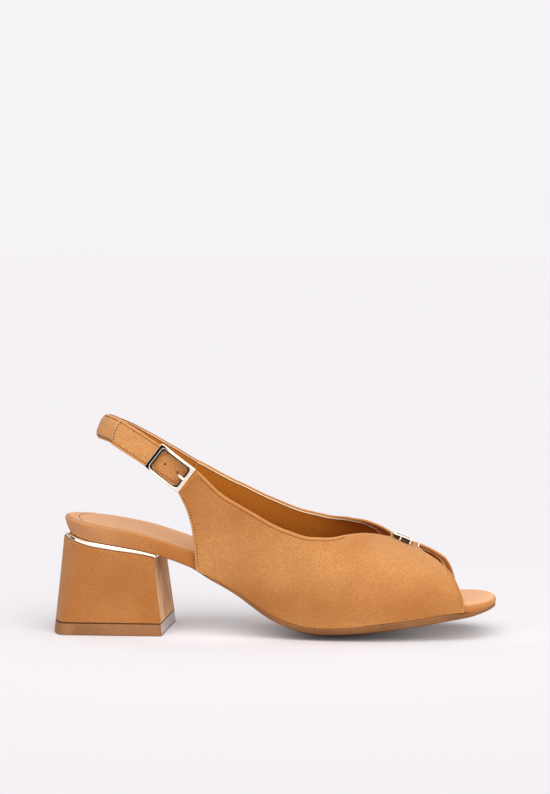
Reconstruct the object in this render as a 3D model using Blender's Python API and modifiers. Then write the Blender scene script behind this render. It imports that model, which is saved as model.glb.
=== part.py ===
# Block heel sandal for the right foot: slingback, open toe, flared block heel.
# Sizes are in millimetres until a mesh is made, and meshes are in metres.
# X runs from heel to toe, +Y is the inner (medial) side, -Y the outer (lateral) side, Z is up.

import math

import bmesh
import bpy
import numpy as np

MM = 0.001
WELD = 0.00001          # metres
LATERAL = -1
MEDIAL = 1

# Driving sizes
LENGTH = 229.2          # footbed, back of the heel seat to the toe tip
HEEL_SEAT = 1.8         # footbed's back, ahead of the flared heel's bottom corner
BALL_WIDTH = 70.0       # footbed across the ball
HEEL_HEIGHT = 53.0      # underside of the footbed at its back
INSTEP = 60.0           # ridge of the last where the throat begins
WALL = 1.8              # upper, suede and lining together
GAP = 0.3               # between pieces that meet

# Footbed, outsole and insole
SEAT_ROUND = 24.0       # length of the rounded back of the seat
TOE_ROUND = 16.0        # length of the rounded toe
TOE_POWER = 2.5         # above 2 squares the toe
TIP = 0.2               # the first and last sections stand this far inside a rounded end
LEAST = 0.4             # smallest half width of a section
INSOLE_THICK = 1.0
INSOLE_INSET = 1.2
FEATHER_GAP = 0.45      # footbed side to the inside of the upper
WELT = 0.5              # outsole beyond the upper
WAIST_INSET = 6.0       # tail of the outsole inside the footbed's edge
WAIST_BLEND = (70.0, 84.0)      # where the tail widens to the full sole
TOE_INSET = 0.3                 # outsole inside the bare toe of the footbed
TOE_BLEND = (208.0, 222.0)      # where the upper's cover ends
SOLE_TAIL = 59.0        # outsole starts just ahead of the heel's breast

# A row for each section of the foot, heel to toe.
# at: share of LENGTH; lateral, medial: half widths as shares of BALL_WIDTH, before the ends are rounded;
# under: underside of the footbed as a share of HEEL_HEIGHT; board: footbed with insole;
# sole: outsole at its edge; crown: how far the tread's middle hangs below its edge
SOLE_COLUMNS = ("at", "lateral", "medial", "under", "board", "sole", "crown")
SOLE_ROWS = [
    (0.00, 0.366, 0.366, 1.000, 8.9, 0.9, 0.1),
    (0.06, 0.368, 0.368, 0.938, 9.7, 0.9, 0.1),
    (0.12, 0.372, 0.370, 0.896, 9.7, 0.9, 0.1),
    (0.20, 0.376, 0.368, 0.838, 9.0, 0.9, 0.1),
    (0.25, 0.374, 0.362, 0.778, 8.7, 0.9, 0.1),
    (0.30, 0.371, 0.353, 0.698, 8.9, 0.9, 0.2),
    (0.40, 0.374, 0.338, 0.490, 8.4, 1.4, 0.8),
    (0.50, 0.428, 0.372, 0.230, 7.6, 2.5, 2.5),
    (0.55, 0.462, 0.412, 0.156, 7.0, 2.9, 3.7),
    (0.60, 0.488, 0.448, 0.128, 6.5, 3.0, 4.3),
    (0.66, 0.500, 0.488, 0.134, 5.9, 3.1, 4.4),
    (0.74, 0.490, 0.500, 0.173, 5.6, 3.5, 3.7),
    (0.82, 0.458, 0.488, 0.216, 5.4, 3.5, 3.0),
    (0.90, 0.408, 0.452, 0.269, 5.1, 3.3, 2.2),
    (0.95, 0.372, 0.420, 0.288, 5.0, 2.6, 1.2),
    (1.00, 0.335, 0.385, 0.316, 4.4, 0.9, 0.3),
]

# Rounded edges, as rows of (grown outwards, away from the face)
FOOTBED_TOP_EDGE = [(-1.6, 0.0), (-0.5, 0.4), (0.0, 1.5)]
FOOTBED_LOW_EDGE = [(0.0, 1.0), (-0.8, 0.0)]
INSOLE_EDGE = [(-0.4, 0.0), (0.0, 0.4)]
SOLE_EDGE = 0.45        # rounding of the outsole's lower edge
TREAD_SHARES = (1.0, 0.85, 0.65, 0.45, 0.32)    # lines of the crowned tread, edge to middle

# The last above the feather edge.
# ridge: height of the top line of the last as a share of INSTEP (above the open collar it only
# sets the lean of the quarters); spread: how far the wall leans out over the sole; lean: ridge off centre;
# inner: how far the inner side of the instep stands above the ridge
LAST_COLUMNS = ("at", "ridge", "spread", "lean", "inner")
LAST_ROWS = [
    (0.24, 2.12, 12.6, 0.0, 0.0),
    (0.32, 2.06, 12.4, 0.0, 0.0),
    (0.40, 1.96, 10.5, 0.0, 0.0),
    (0.46, 1.80, 8.0, 0.0, 0.0),
    (0.53, 1.57, 2.0, 0.3, 0.0),
    (0.59, 1.32, -1.0, 0.6, 0.0),
    (0.63, 1.14, -1.5, 0.8, 0.0),
    (0.66, 1.05, -1.0, 1.0, 0.0),
    (0.70, 0.987, 0.0, 1.0, 0.6),
    (0.735, 0.920, 0.0, 1.0, 1.3),
    (0.765, 0.856, 0.0, 1.0, 1.0),
    (0.80, 0.796, 0.0, 1.0, 1.0),
    (0.825, 0.765, 0.0, 1.0, 1.2),
    (0.85, 0.741, 0.0, 1.0, 1.2),
    (0.885, 0.690, 0.0, 1.0, 0.6),
    (0.912, 0.632, 0.0, 1.0, 0.0),
    (0.945, 0.540, 0.0, 1.0, 0.0),
]
LAST_POWER = 0.83       # below 1 squares the shoulders of a section
INNER_POWER = 2         # above 1 keeps the inner rise near the ridge
GIRTH_ROUNDS = 8        # rounds that find the girth at a height

# Edges of the petals. height is above the floor, girth is the share of the way from feather edge to ridge
REAR_COLUMNS = ("up", "x", "height")
REAR_ROWS = [
    (0.00, 75.0, 34.0),
    (0.35, 73.9, 51.4),
    (0.65, 72.2, 62.0),
    (0.80, 70.4, 68.0),
    (1.00, 66.1, 77.1),
]
EDGE_COLUMNS = ("x", "girth")
LATERAL_TOPLINE = [
    (76.1, 0.364),
    (90.2, 0.297),
    (107.5, 0.305),
    (123.5, 0.332),
    (136.6, 0.395),
    (146.4, 0.504),
    (155.5, 0.637),
    (161.0, 0.697),
    (166.0, 0.757),
    (170.6, 0.820),
    (173.6, 0.870),
    (175.6, 0.925),
]
MEDIAL_TOPLINE = [
    (69.2, 0.346),
    (90.0, 0.319),
    (110.9, 0.355),
    (131.9, 0.442),
    (147.1, 0.637),
    (152.8, 0.739),
    (158.3, 0.805),
    (163.9, 0.848),
    (168.8, 0.872),
    (172.8, 0.903),
    (175.5, 0.945),
]
LATERAL_FRONT = [
    (215.4, 0.0),
    (215.3, 0.16),
    (213.1, 0.334),
    (210.4, 0.495),
    (206.2, 0.622),
    (200.9, 0.722),
    (194.6, 0.83),
]
MEDIAL_FRONT = [
    (209.4, 0.0),
    (209.3, 0.16),
    (208.1, 0.324),
    (206.1, 0.503),
    (203.6, 0.620),
    (199.6, 0.690),
    (193.2, 0.822),
]
MEDIAL_EAR = (63.5, 76.9)   # lower corner of the inner quarter, where the sling band starts
SLIT = 1.2                  # half of the slit between the petals, closed by the bridge
THROAT = 176.4              # front of the throat: from here the bridge runs forward
FRONT_SLIT = 191.0          # the bridge ends here
BRIDGE_STEPS = 4
PETAL_ALONG = 40
PETAL_UP = 12
BAND_UP = 4                 # strips across the sling band

# Sling band: its middle line from the inner quarter round the heel to the outer side
BAND_WIDTH = 13.7
BAND_LEAN = 23.5            # degrees that the band's top leans forward
BAND_COLUMNS = ("x", "y", "z")
SLING_ROWS = [
    (66.3, 31.2, 82.5),
    (53.2, 30.2, 89.6),
    (40.1, 29.2, 97.1),
    (30.0, 26.0, 102.8),
    (23.0, 18.0, 106.6),
    (20.4, 8.0, 108.9),
    (20.6, -6.0, 109.9),
    (24.2, -17.5, 110.0),
    (30.2, -24.6, 108.5),
    (37.6, -26.9, 104.7),
    (46.0, -27.6, 99.6),
]
SLING_STEPS = 44
BUCKLE_STRAP_ROWS = [
    (32.5, -27.5, 107.8),
    (37.8, -29.0, 104.7),
    (48.0, -29.7, 98.4),
    (56.0, -29.7, 93.1),
    (62.0, -29.2, 89.2),
    (68.0, -28.5, 85.1),
    (74.0, -28.1, 80.7),
    (80.0, -27.8, 76.4),
]
STRAP_THICK = 1.6
STRAP_STEPS = 22

# Heel: block, plate and lift. Each is a U in plan with a flat breast in front
PLATE_THICK = 1.6
PLATE_INSET = 1.0
LIFT_HEIGHT = 6.2
# Rows of (front, back, half width, length of the rounded back)
HEEL_TOP = (52.2, 1.4, 25.5, 20.0)
HEEL_FLOOR = (57.0, -3.4, 28.6, 9.0)
HEEL_POWER = 2.1
HEEL_STEPS = 18
HEEL_CROWD = 1.7            # above 1 crowds the points into the round back
HEEL_LEVELS = (0.985, 0.75, 0.5, 0.25, 0.0)
HEEL_EDGE = 0.8             # rounding of the block's top edge
LIFT_EDGE = [(0.1, 0.6), (0.7, 0.0)]    # inset and height of the lift's lower edge

# Buckle on the outer quarter: a flat frame seen square on, with a prong on its front bar
FRAME_SIZE = (22.6, 15.4)
FRAME_OPENING = (15.6, 11.2)
FRAME_ROUNDS = (1.0, 2.4)   # corners of the outside and of the opening
FRAME_THICK = 1.8
FRAME_CENTRE = (62.0, -32.6, 89.2)
FRAME_SLOPE = 37.0          # degrees, down towards the toe
FRAME_TILT = 5.0            # degrees, so that the rear bar lies on the strap
FRAME_EDGE = 0.3            # rounding of its edges
PRONG_RADIUS = 0.75
PRONG_ROUTE = [(10.2, 2.0), (7.6, 2.05), (6.2, 1.35), (5.0, 0.3), (4.2, -0.35)]    # along the strap, outwards

# Slide and bar on the vamp
CLIP_CENTRE = (182.4, 52.2)     # X and height of its middle
CLIP_SIZE = (11.2, 15.0)
CLIP_OPENING = (7.4, 11.2)
CLIP_ROUNDS = (1.6, 0.8)
CLIP_EDGE = 0.25
CLIP_THICK = 1.5
CLIP_SLOPE = 20.5               # degrees
CLIP_BOW = 0.9                  # its ends are bent down over the vamp
BAR_X = 190.4
BAR_LENGTH = 11.0
BAR_RADIUS = 0.8

# Finishes: base colour, roughness and metallic value
SUEDE = ((0.52, 0.25, 0.09), 0.85, 0.0)
SUEDE_PALE = ((0.58, 0.32, 0.15), 0.75, 0.0)
RUBBER = ((0.30, 0.14, 0.06), 0.55, 0.0)
GOLD = ((0.86, 0.66, 0.38), 0.16, 1.0)


def table(columns, rows):
    return dict(zip(columns, np.array(rows, float).T))


SOLE = table(SOLE_COLUMNS, SOLE_ROWS)
LAST = table(LAST_COLUMNS, LAST_ROWS)


def smooth(knots, values, at):
    # A cubic through the rows of a table, with each row's slope taken from its neighbours
    slope = np.gradient(values, knots)
    at = np.clip(at, knots[0], knots[-1])
    row = np.clip(np.searchsorted(knots, at, side="right") - 1, 0, len(knots) - 2)
    span = knots[row + 1] - knots[row]
    t = (at - knots[row]) / span
    start = (2 * t**3 - 3 * t**2 + 1) * values[row] + (t**3 - 2 * t**2 + t) * span * slope[row]
    end = (3 * t**2 - 2 * t**3) * values[row + 1] + (t**3 - t**2) * span * slope[row + 1]
    return start + end


def read(rows, name, x):
    return smooth(rows["at"], rows[name], (np.asarray(x, float) - HEEL_SEAT) / LENGTH)


def rounded(distance, radius, power):
    # Share of the full width at a distance from a rounded end
    left = np.clip(1 - distance / radius, 0, 1)
    return (1 - left**power) ** (1 / power)


def ease(x, start, end):
    # Soft step from 0 at the start to 1 at the end
    t = np.clip((x - start) / (end - start), 0, 1)
    return t * t * (3 - 2 * t)


def half_width(x, side):
    name = "lateral" if side == LATERAL else "medial"
    return BALL_WIDTH * read(SOLE, name, x)


def under(x):
    return HEEL_HEIGHT * read(SOLE, "under", x)


def footbed_top(x):
    return under(x) + read(SOLE, "board", x) - INSOLE_THICK - GAP


def stations(start, end, count):
    # Evenly spread in the middle and closer together at both ends
    t = np.linspace(0, 1, count)
    return start + (end - start) * (t - 0.75 * np.sin(2 * math.pi * t) / (2 * math.pi))


def new_object(name, mesh, finish):
    colour, roughness, metallic = finish
    material = bpy.data.materials.new(name)
    material.use_nodes = True
    shader = material.node_tree.nodes["Principled BSDF"]
    shader.inputs["Base Color"].default_value = (*colour, 1)
    shader.inputs["Roughness"].default_value = roughness
    shader.inputs["Metallic"].default_value = metallic
    mesh.materials.append(material)
    thing = bpy.data.objects.new(name, mesh)
    parts.objects.link(thing)
    thing.parent = shoe
    return thing


def mesh_from(name, points, faces):
    mesh = bpy.data.meshes.new(name)
    mesh.from_pydata((np.asarray(points) * MM).tolist(), [], faces)
    mesh.shade_smooth()
    mesh.set_sharp_from_angle(angle=math.radians(40))
    return mesh


def stack(name, rings, finish):
    # A solid of plan outlines, listed from the top down and closed by strips across the first and the last.
    # A ring runs along the lateral side and back along the medial side, so point k faces point -1-k.
    count = len(rings[0])
    half = count // 2
    faces = []
    for level in range(len(rings) - 1):
        upper = level * count
        lower = upper + count
        for k in range(count):
            n = (k + 1) % count
            faces.append((upper + k, lower + k, lower + n, upper + n))
    last = (len(rings) - 1) * count
    for k in range(half - 1):
        far, near = count - 1 - k, count - 2 - k
        faces.append((k, k + 1, near, far))
        faces.append((last + far, last + near, last + k + 1, last + k))
    return new_object(name, mesh_from(name, np.concatenate(rings), faces), finish)


def ring(x, lateral, medial, z):
    z = np.broadcast_to(z, x.shape)
    outer = np.column_stack([x, -lateral, z])
    inner = np.column_stack([x, medial, z])
    return np.concatenate([outer, inner[::-1]])


def sole_ring(x, grow, height):
    # Outline of the footbed, grown outwards, at a height that follows the arch
    end = HEEL_SEAT + LENGTH
    ends = rounded(x - HEEL_SEAT + TIP, SEAT_ROUND, 2.0) * rounded(end - x + TIP, TOE_ROUND, TOE_POWER)
    lateral = np.maximum(half_width(x, LATERAL) * ends + grow, LEAST)
    medial = np.maximum(half_width(x, MEDIAL) * ends + grow, LEAST)
    middle = HEEL_SEAT + LENGTH / 2
    stretch = 1 + 2 * grow / LENGTH
    return ring(middle + (x - middle) * stretch, lateral, medial, height)


def make_footbed():
    x = stations(HEEL_SEAT, HEEL_SEAT + LENGTH, 46)
    rings = [sole_ring(x, grow, footbed_top(x) - drop) for grow, drop in FOOTBED_TOP_EDGE]
    rings += [sole_ring(x, grow, under(x) + rise) for grow, rise in FOOTBED_LOW_EDGE]
    stack("footbed", rings, SUEDE)


def make_insole():
    x = stations(HEEL_SEAT, HEEL_SEAT + LENGTH, 40)
    low = footbed_top(x) + GAP
    rings = [sole_ring(x, grow - INSOLE_INSET, low + INSOLE_THICK - drop) for grow, drop in INSOLE_EDGE]
    rings.append(sole_ring(x, -INSOLE_INSET, low))
    stack("insole", rings, SUEDE_PALE)


def make_outsole():
    # Crowned tread: the middle hangs below the edge and is flattened where it meets the floor
    end = HEEL_SEAT + LENGTH
    x = stations(SOLE_TAIL, end, 46)
    high = under(x) - GAP
    edge = high - read(SOLE, "sole", x)
    crown = read(SOLE, "crown", x)
    cover = FEATHER_GAP + WALL + WELT
    waist = ease(x, *WAIST_BLEND)
    bare = ease(x, *TOE_BLEND)
    grow = -WAIST_INSET * (1 - waist) + cover * waist * (1 - bare) - TOE_INSET * bare

    def outline(inset, height, share):
        ends = rounded(end - x + TIP, TOE_ROUND, TOE_POWER)
        lateral = np.maximum(half_width(x, LATERAL) * ends + grow - inset, LEAST) * share
        medial = np.maximum(half_width(x, MEDIAL) * ends + grow - inset, LEAST) * share
        return ring(x, lateral, medial, height)

    rings = [outline(0, high, 1), outline(0, edge + SOLE_EDGE, 1)]
    for share in TREAD_SHARES:
        sag = crown * (1 - share**2)
        rings.append(outline(SOLE_EDGE, np.maximum(edge - sag, 0), share))
    stack("outsole", rings, RUBBER)


def heel_outline(row, height):
    front, back, half, radius = row
    t = np.linspace(0, 1, HEEL_STEPS)
    x = back + (front - back) * t**HEEL_CROWD
    width = half * rounded(x - back + TIP, radius, HEEL_POWER)
    return ring(x, width, width, height(x) if callable(height) else height)


def heel_row(share, inset=0.0):
    # Outline of the heel between its floor (share 0) and its top (share 1)
    front, back, half, radius = np.array(HEEL_FLOOR) * (1 - share) + np.array(HEEL_TOP) * share
    return (front - inset, back + inset, half - inset, radius)


def heel_top(x):
    return under(x) - 2 * GAP - PLATE_THICK


def make_heel():
    plate = heel_row(1, PLATE_INSET)
    rings = [
        heel_outline(plate, lambda x: under(x) - GAP),
        heel_outline(plate, lambda x: under(x) - GAP - PLATE_THICK),
    ]
    stack("heel_plate", rings, GOLD)

    foot = LIFT_HEIGHT + GAP
    lift_share = foot / HEEL_HEIGHT
    rings = [heel_outline(heel_row(1, HEEL_EDGE), heel_top)]
    for share in HEEL_LEVELS:
        row = heel_row(lift_share + (1 - lift_share) * share)
        rings.append(heel_outline(row, lambda x: foot + (heel_top(x) - foot) * share))
    stack("heel_block", rings, SUEDE)

    rings = [heel_outline(heel_row(lift_share), LIFT_HEIGHT)]
    rings += [heel_outline(heel_row(0, inset), height) for inset, height in LIFT_EDGE]
    stack("top_lift", rings, RUBBER)


def feather(x, side):
    return half_width(x, side) + FEATHER_GAP + WALL


def ridge(x):
    return INSTEP * read(LAST, "ridge", x)


def last_point(x, girth, side):
    # Outside of the upper: a squared ellipse from the feather edge (girth 0) over to the ridge (girth 1)
    angle = girth * math.pi / 2
    rise = np.sin(angle) ** LAST_POWER
    reach = np.maximum(np.cos(angle), 0) ** LAST_POWER
    centre = read(LAST, "lean", x)
    edge = side * (feather(x, side) + read(LAST, "spread", x) * rise)
    y = centre + (edge - centre) * reach
    z = under(x) + (ridge(x) - under(x)) * rise + inner_rise(x, girth, side)
    return np.stack([x, y, z], axis=-1)


def inner_rise(x, girth, side):
    return read(LAST, "inner", x) * girth**INNER_POWER * (side == MEDIAL)


def girth_at_height(x, height, side):
    girth = np.full_like(x, 0.5)
    for _ in range(GIRTH_ROUNDS):
        rise = np.clip((height - inner_rise(x, girth, side) - under(x)) / (ridge(x) - under(x)), 0, 1)
        girth = np.arcsin(rise ** (1 / LAST_POWER)) * 2 / math.pi
    return girth


def girth_at_slit(x, side):
    centre = read(LAST, "lean", x)
    reach = (side * SLIT - centre) / (side * feather(x, side) - centre)
    return np.arccos(np.abs(reach) ** (1 / LAST_POWER)) * 2 / math.pi


def run_along(points):
    return np.concatenate([[0], np.cumsum(np.linalg.norm(np.diff(points, axis=0), axis=1))])


def edge(rows, end, side, count):
    # Points spread evenly along an edge on the last, through its rows and on to its end
    row = table(EDGE_COLUMNS, [*rows, end])
    run = run_along(last_point(row["x"], row["girth"], side))
    at = np.linspace(0, run[-1], count)
    return np.column_stack([smooth(run, row[name], at) for name in EDGE_COLUMNS])


def petal(side, topline_rows, front_rows, ear):
    # A patch between four edges, blended in (x, girth) and then laid on the last
    u = np.linspace(0, 1, PETAL_ALONG + 1)
    v = np.linspace(0, 1, PETAL_UP + 1)
    slit_x = np.linspace(THROAT, FRONT_SLIT, BRIDGE_STEPS + 1)
    slit = np.column_stack([slit_x, girth_at_slit(slit_x, side)])
    top = np.concatenate([edge(topline_rows, slit[0], side, PETAL_ALONG - BRIDGE_STEPS + 1), slit[1:]])
    front_edge = edge(front_rows, slit[-1], side, PETAL_UP + 1)

    rear = table(REAR_COLUMNS, REAR_ROWS)
    foot_x = rear["x"][0] + (front_edge[0, 0] - rear["x"][0]) * u
    foot = np.column_stack([foot_x, np.zeros_like(u)])

    ear_from = 1 - BAND_UP / PETAL_UP
    up = np.clip(v / ear_from, 0, 1)
    along_ear = np.clip((v - ear_from) / (1 - ear_from), 0, 1)
    corner = last_point(*top[0], side)
    rear_x = smooth(rear["up"], rear["x"], up) + (ear[0] - rear["x"][-1]) * up**2
    rear_x += (corner[0] - ear[0]) * along_ear
    rear_z = smooth(rear["up"], rear["height"], up) + (ear[1] - rear["height"][-1]) * up**2
    rear_z += (corner[2] - ear[1]) * along_ear
    rear_edge = np.column_stack([rear_x, girth_at_height(rear_x, rear_z, side)])
    rear_edge[0] = foot[0]

    u, v = u[:, None, None], v[None, :, None]
    across = (1 - v) * foot[:, None] + v * top[:, None]
    lengthwise = (1 - u) * rear_edge[None] + u * front_edge[None]
    corners = (1 - u) * ((1 - v) * foot[0] + v * top[0]) + u * ((1 - v) * foot[-1] + v * top[-1])
    patch = across + lengthwise - corners
    return last_point(patch[..., 0], np.clip(patch[..., 1], 0, 1), side)


def band(rows, steps):
    # A flat band along a path: every row across it leans forward by the same angle
    path = table(BAND_COLUMNS, rows)
    run = run_along(np.array(rows))
    at = np.linspace(0, run[-1], steps + 1)
    middle = np.column_stack([smooth(run, path[name], at) for name in BAND_COLUMNS])
    tangent = np.gradient(middle, at, axis=0)
    tangent /= np.linalg.norm(tangent, axis=1, keepdims=True)
    lean = math.radians(BAND_LEAN)
    up = np.array([math.sin(lean), 0, math.cos(lean)])
    across = up - tangent * (tangent @ up)[:, None]
    across /= np.linalg.norm(across, axis=1, keepdims=True)
    spread = (np.linspace(0, 1, BAND_UP + 1) - 0.5) * BAND_WIDTH
    return middle[:, None] + across[:, None] * spread[None, :, None]


def grid_faces(index):
    # Quads of a grid of point numbers; their fronts face along (first way) x (second way)
    quads = np.stack([index[:-1, :-1], index[1:, :-1], index[1:, 1:], index[:-1, 1:]], axis=-1)
    return quads.reshape(-1, 4).tolist()


def thicken(thing, thickness):
    solid = thing.modifiers.new("wall", "SOLIDIFY")
    solid.thickness = thickness * MM
    solid.offset = -1
    solid.use_even_offset = True


def make_upper():
    lateral = petal(LATERAL, LATERAL_TOPLINE, LATERAL_FRONT, REAR_ROWS[-1][1:])
    medial = petal(MEDIAL, MEDIAL_TOPLINE, MEDIAL_FRONT, MEDIAL_EAR)
    sling = band(SLING_ROWS, SLING_STEPS)[1:]
    points = np.concatenate([grid.reshape(-1, 3) for grid in (lateral, medial, sling)])
    count = lateral[..., 0].size
    lateral_index = np.arange(count).reshape(lateral.shape[:2])
    medial_index = lateral_index + count
    sling_index = 2 * count + np.arange(sling[..., 0].size).reshape(sling.shape[:2])
    sling_index = np.concatenate([medial_index[:1, -BAND_UP - 1:], sling_index])
    bridge_index = np.column_stack([grid[-BRIDGE_STEPS - 1:, -1] for grid in (lateral_index, medial_index)])
    faces = grid_faces(lateral_index)
    faces += grid_faces(medial_index[::-1])
    faces += grid_faces(bridge_index)
    faces += grid_faces(sling_index)
    upper = new_object("upper", mesh_from("upper", points, faces), SUEDE)
    thicken(upper, WALL)


def make_buckle_strap():
    strip = band(BUCKLE_STRAP_ROWS, STRAP_STEPS)
    index = np.arange(strip[..., 0].size).reshape(strip.shape[:2])
    strap = new_object("buckle_strap", mesh_from("buckle_strap", strip.reshape(-1, 3), grid_faces(index)), SUEDE)
    thicken(strap, STRAP_THICK)


def round_rectangle(curve, size, radius):
    # A closed spline with four straight sides and round corners
    spline = curve.splines.new("BEZIER")
    spline.bezier_points.add(7)
    spline.use_cyclic_u = True
    a, b = size[0] / 2, size[1] / 2
    k = 0.5523 * radius
    corners = [
        ((a, -b + radius), (a, -b + radius - k), (0, 1)),
        ((a, b - radius), (a, b - radius + k), (0, -1)),
        ((a - radius, b), (a - radius + k, b), (-1, 0)),
        ((-a + radius, b), (-a + radius - k, b), (1, 0)),
        ((-a, b - radius), (-a, b - radius + k), (0, -1)),
        ((-a, -b + radius), (-a, -b + radius - k), (0, 1)),
        ((-a + radius, -b), (-a + radius - k, -b), (1, 0)),
        ((a - radius, -b), (a - radius + k, -b), (-1, 0)),
    ]
    for k, (point, round_handle, inward) in enumerate(corners):
        knot = spline.bezier_points[k]
        knot.handle_left_type = knot.handle_right_type = "FREE"
        straight = (point[0] + inward[0], point[1] + inward[1])
        left, right = (round_handle, straight) if k % 2 == 0 else (straight, round_handle)
        knot.co = (point[0] * MM, point[1] * MM, 0)
        knot.handle_left = (left[0] * MM, left[1] * MM, 0)
        knot.handle_right = (right[0] * MM, right[1] * MM, 0)


def closed_mesh(name, curve):
    # The curve's evaluated surface as one welded mesh
    thing = bpy.data.objects.new(name, curve)
    bpy.context.scene.collection.objects.link(thing)
    bpy.context.view_layer.update()
    seen = thing.evaluated_get(bpy.context.evaluated_depsgraph_get())
    mesh = bpy.data.meshes.new_from_object(seen)
    bpy.data.objects.remove(thing)
    mesh.name = name
    mesh.materials.clear()
    work = bmesh.new()
    work.from_mesh(mesh)
    bmesh.ops.remove_doubles(work, verts=work.verts, dist=WELD)
    bmesh.ops.recalc_face_normals(work, faces=work.faces)
    work.to_mesh(mesh)
    work.free()
    mesh.shade_smooth()
    mesh.set_sharp_from_angle(angle=math.radians(30))
    return mesh


def flat_frame(name, size, opening, rounds, thick, edge, bow=0.0):
    curve = bpy.data.curves.new(name, "CURVE")
    curve.dimensions = "2D"
    curve.fill_mode = "BOTH"
    curve.resolution_u = 4
    curve.extrude = (thick / 2 - edge) * MM
    curve.bevel_depth = edge * MM
    curve.bevel_resolution = 1
    curve.offset = -edge * MM
    round_rectangle(curve, size, rounds[0])
    round_rectangle(curve, opening, rounds[1])
    mesh = closed_mesh(name, curve)
    for vertex in mesh.vertices:
        vertex.co.z -= bow * MM * (2 * vertex.co.x / (size[0] * MM)) ** 2
    return new_object(name, mesh, GOLD)


def wire(name, points, radius):
    curve = bpy.data.curves.new(name, "CURVE")
    curve.dimensions = "3D"
    curve.bevel_depth = radius * MM
    curve.bevel_resolution = 3
    curve.use_fill_caps = True
    spline = curve.splines.new("POLY")
    spline.points.add(len(points) - 1)
    for knot, point in zip(spline.points, points):
        knot.co = (point[0] * MM, point[1] * MM, point[2] * MM, 1)
    return new_object(name, closed_mesh(name, curve), GOLD)


def make_buckle():
    # The frame's own X runs along the strap, its Y across it, and its Z out of the shoe
    turn = (math.radians(90), math.radians(FRAME_SLOPE), math.radians(-FRAME_TILT))
    frame = flat_frame("buckle_frame", FRAME_SIZE, FRAME_OPENING, FRAME_ROUNDS, FRAME_THICK, FRAME_EDGE)
    prong = wire("buckle_prong", [(along, 0, out) for along, out in PRONG_ROUTE], PRONG_RADIUS)
    for piece in (frame, prong):
        piece.location = [value * MM for value in FRAME_CENTRE]
        piece.rotation_euler = turn


def make_vamp_trim():
    clip = flat_frame("vamp_clip", CLIP_SIZE, CLIP_OPENING, CLIP_ROUNDS, CLIP_THICK, CLIP_EDGE, CLIP_BOW)
    clip.location = (CLIP_CENTRE[0] * MM, 0, CLIP_CENTRE[1] * MM)
    clip.rotation_euler = (0, math.radians(CLIP_SLOPE), 0)

    half = BAR_LENGTH / 2
    height = float(ridge(BAR_X) + read(LAST, "inner", BAR_X)) + GAP + BAR_RADIUS
    wire("vamp_bar", [(BAR_X, y, height) for y in (-half, 0, half)], BAR_RADIUS)


for old in list(bpy.data.objects):
    bpy.data.objects.remove(old)
parts = bpy.data.collections.new("block_heel_sandal")
bpy.context.scene.collection.children.link(parts)
shoe = bpy.data.objects.new("shoe", None)
parts.objects.link(shoe)
shoe.location = (-(HEEL_SEAT + LENGTH + HEEL_FLOOR[1]) / 2 * MM, 0, 0)

make_outsole()
make_footbed()
make_insole()
make_heel()
make_upper()
make_buckle_strap()
make_buckle()
make_vamp_trim()
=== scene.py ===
import math

import bpy
import numpy as np
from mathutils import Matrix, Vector


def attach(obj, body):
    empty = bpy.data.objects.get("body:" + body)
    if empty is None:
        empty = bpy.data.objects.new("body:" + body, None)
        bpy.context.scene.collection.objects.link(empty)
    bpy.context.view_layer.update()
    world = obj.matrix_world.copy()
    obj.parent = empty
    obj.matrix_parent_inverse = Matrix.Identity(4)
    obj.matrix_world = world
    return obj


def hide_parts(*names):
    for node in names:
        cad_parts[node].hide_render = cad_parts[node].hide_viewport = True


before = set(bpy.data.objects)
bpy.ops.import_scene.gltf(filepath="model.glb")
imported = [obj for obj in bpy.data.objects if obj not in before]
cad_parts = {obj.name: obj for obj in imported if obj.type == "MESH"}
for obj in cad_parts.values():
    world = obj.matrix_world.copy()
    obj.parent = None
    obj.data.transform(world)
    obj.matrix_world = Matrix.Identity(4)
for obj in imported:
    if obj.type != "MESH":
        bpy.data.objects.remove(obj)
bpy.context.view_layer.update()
print("frame loaded:", len(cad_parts), "nodes")

mm = 0.001
lateral, medial = -1, 1

# The last in millimetres: X from heel to toe, Y to the inner side, Z up, as in the solids

shoe = {
    "length": 229.2, "seatStart": 1.8, "ballWidth": 70.0, "heelHeight": 53.0, "instep": 60.0,
    "originX": 113.8,                      # from the last's zero to the middle of the box
    "wall": 1.8, "gap": 0.3, "featherGap": 0.45, "seatRound": 24.0, "toeRound": 16.0, "toePower": 2.5,
    "tip": 0.2, "least": 0.4, "sectionPower": 0.83,
}


def asTable(names, rows):
    return dict(zip(names.split(), np.array(rows, float).T))


soleTable = asTable("at lateral medial under board sole crown", [
    (0.00, 0.366, 0.366, 1.000, 8.9, 0.9, 0.1),
    (0.06, 0.368, 0.368, 0.938, 9.7, 0.9, 0.1),
    (0.12, 0.372, 0.370, 0.896, 9.7, 0.9, 0.1),
    (0.20, 0.376, 0.368, 0.838, 9.0, 0.9, 0.1),
    (0.25, 0.374, 0.362, 0.778, 8.7, 0.9, 0.1),
    (0.30, 0.371, 0.353, 0.698, 8.9, 0.9, 0.2),
    (0.40, 0.374, 0.338, 0.490, 8.4, 1.4, 0.8),
    (0.50, 0.428, 0.372, 0.230, 7.6, 2.5, 2.5),
    (0.55, 0.462, 0.412, 0.156, 7.0, 2.9, 3.7),
    (0.60, 0.488, 0.448, 0.128, 6.5, 3.0, 4.3),
    (0.66, 0.500, 0.488, 0.134, 5.9, 3.1, 4.4),
    (0.74, 0.490, 0.500, 0.173, 5.6, 3.5, 3.7),
    (0.82, 0.458, 0.488, 0.216, 5.4, 3.5, 3.0),
    (0.90, 0.408, 0.452, 0.269, 5.1, 3.3, 2.2),
    (0.95, 0.372, 0.420, 0.288, 5.0, 2.6, 1.2),
    (1.00, 0.335, 0.385, 0.316, 4.4, 0.9, 0.3),
])
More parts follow.
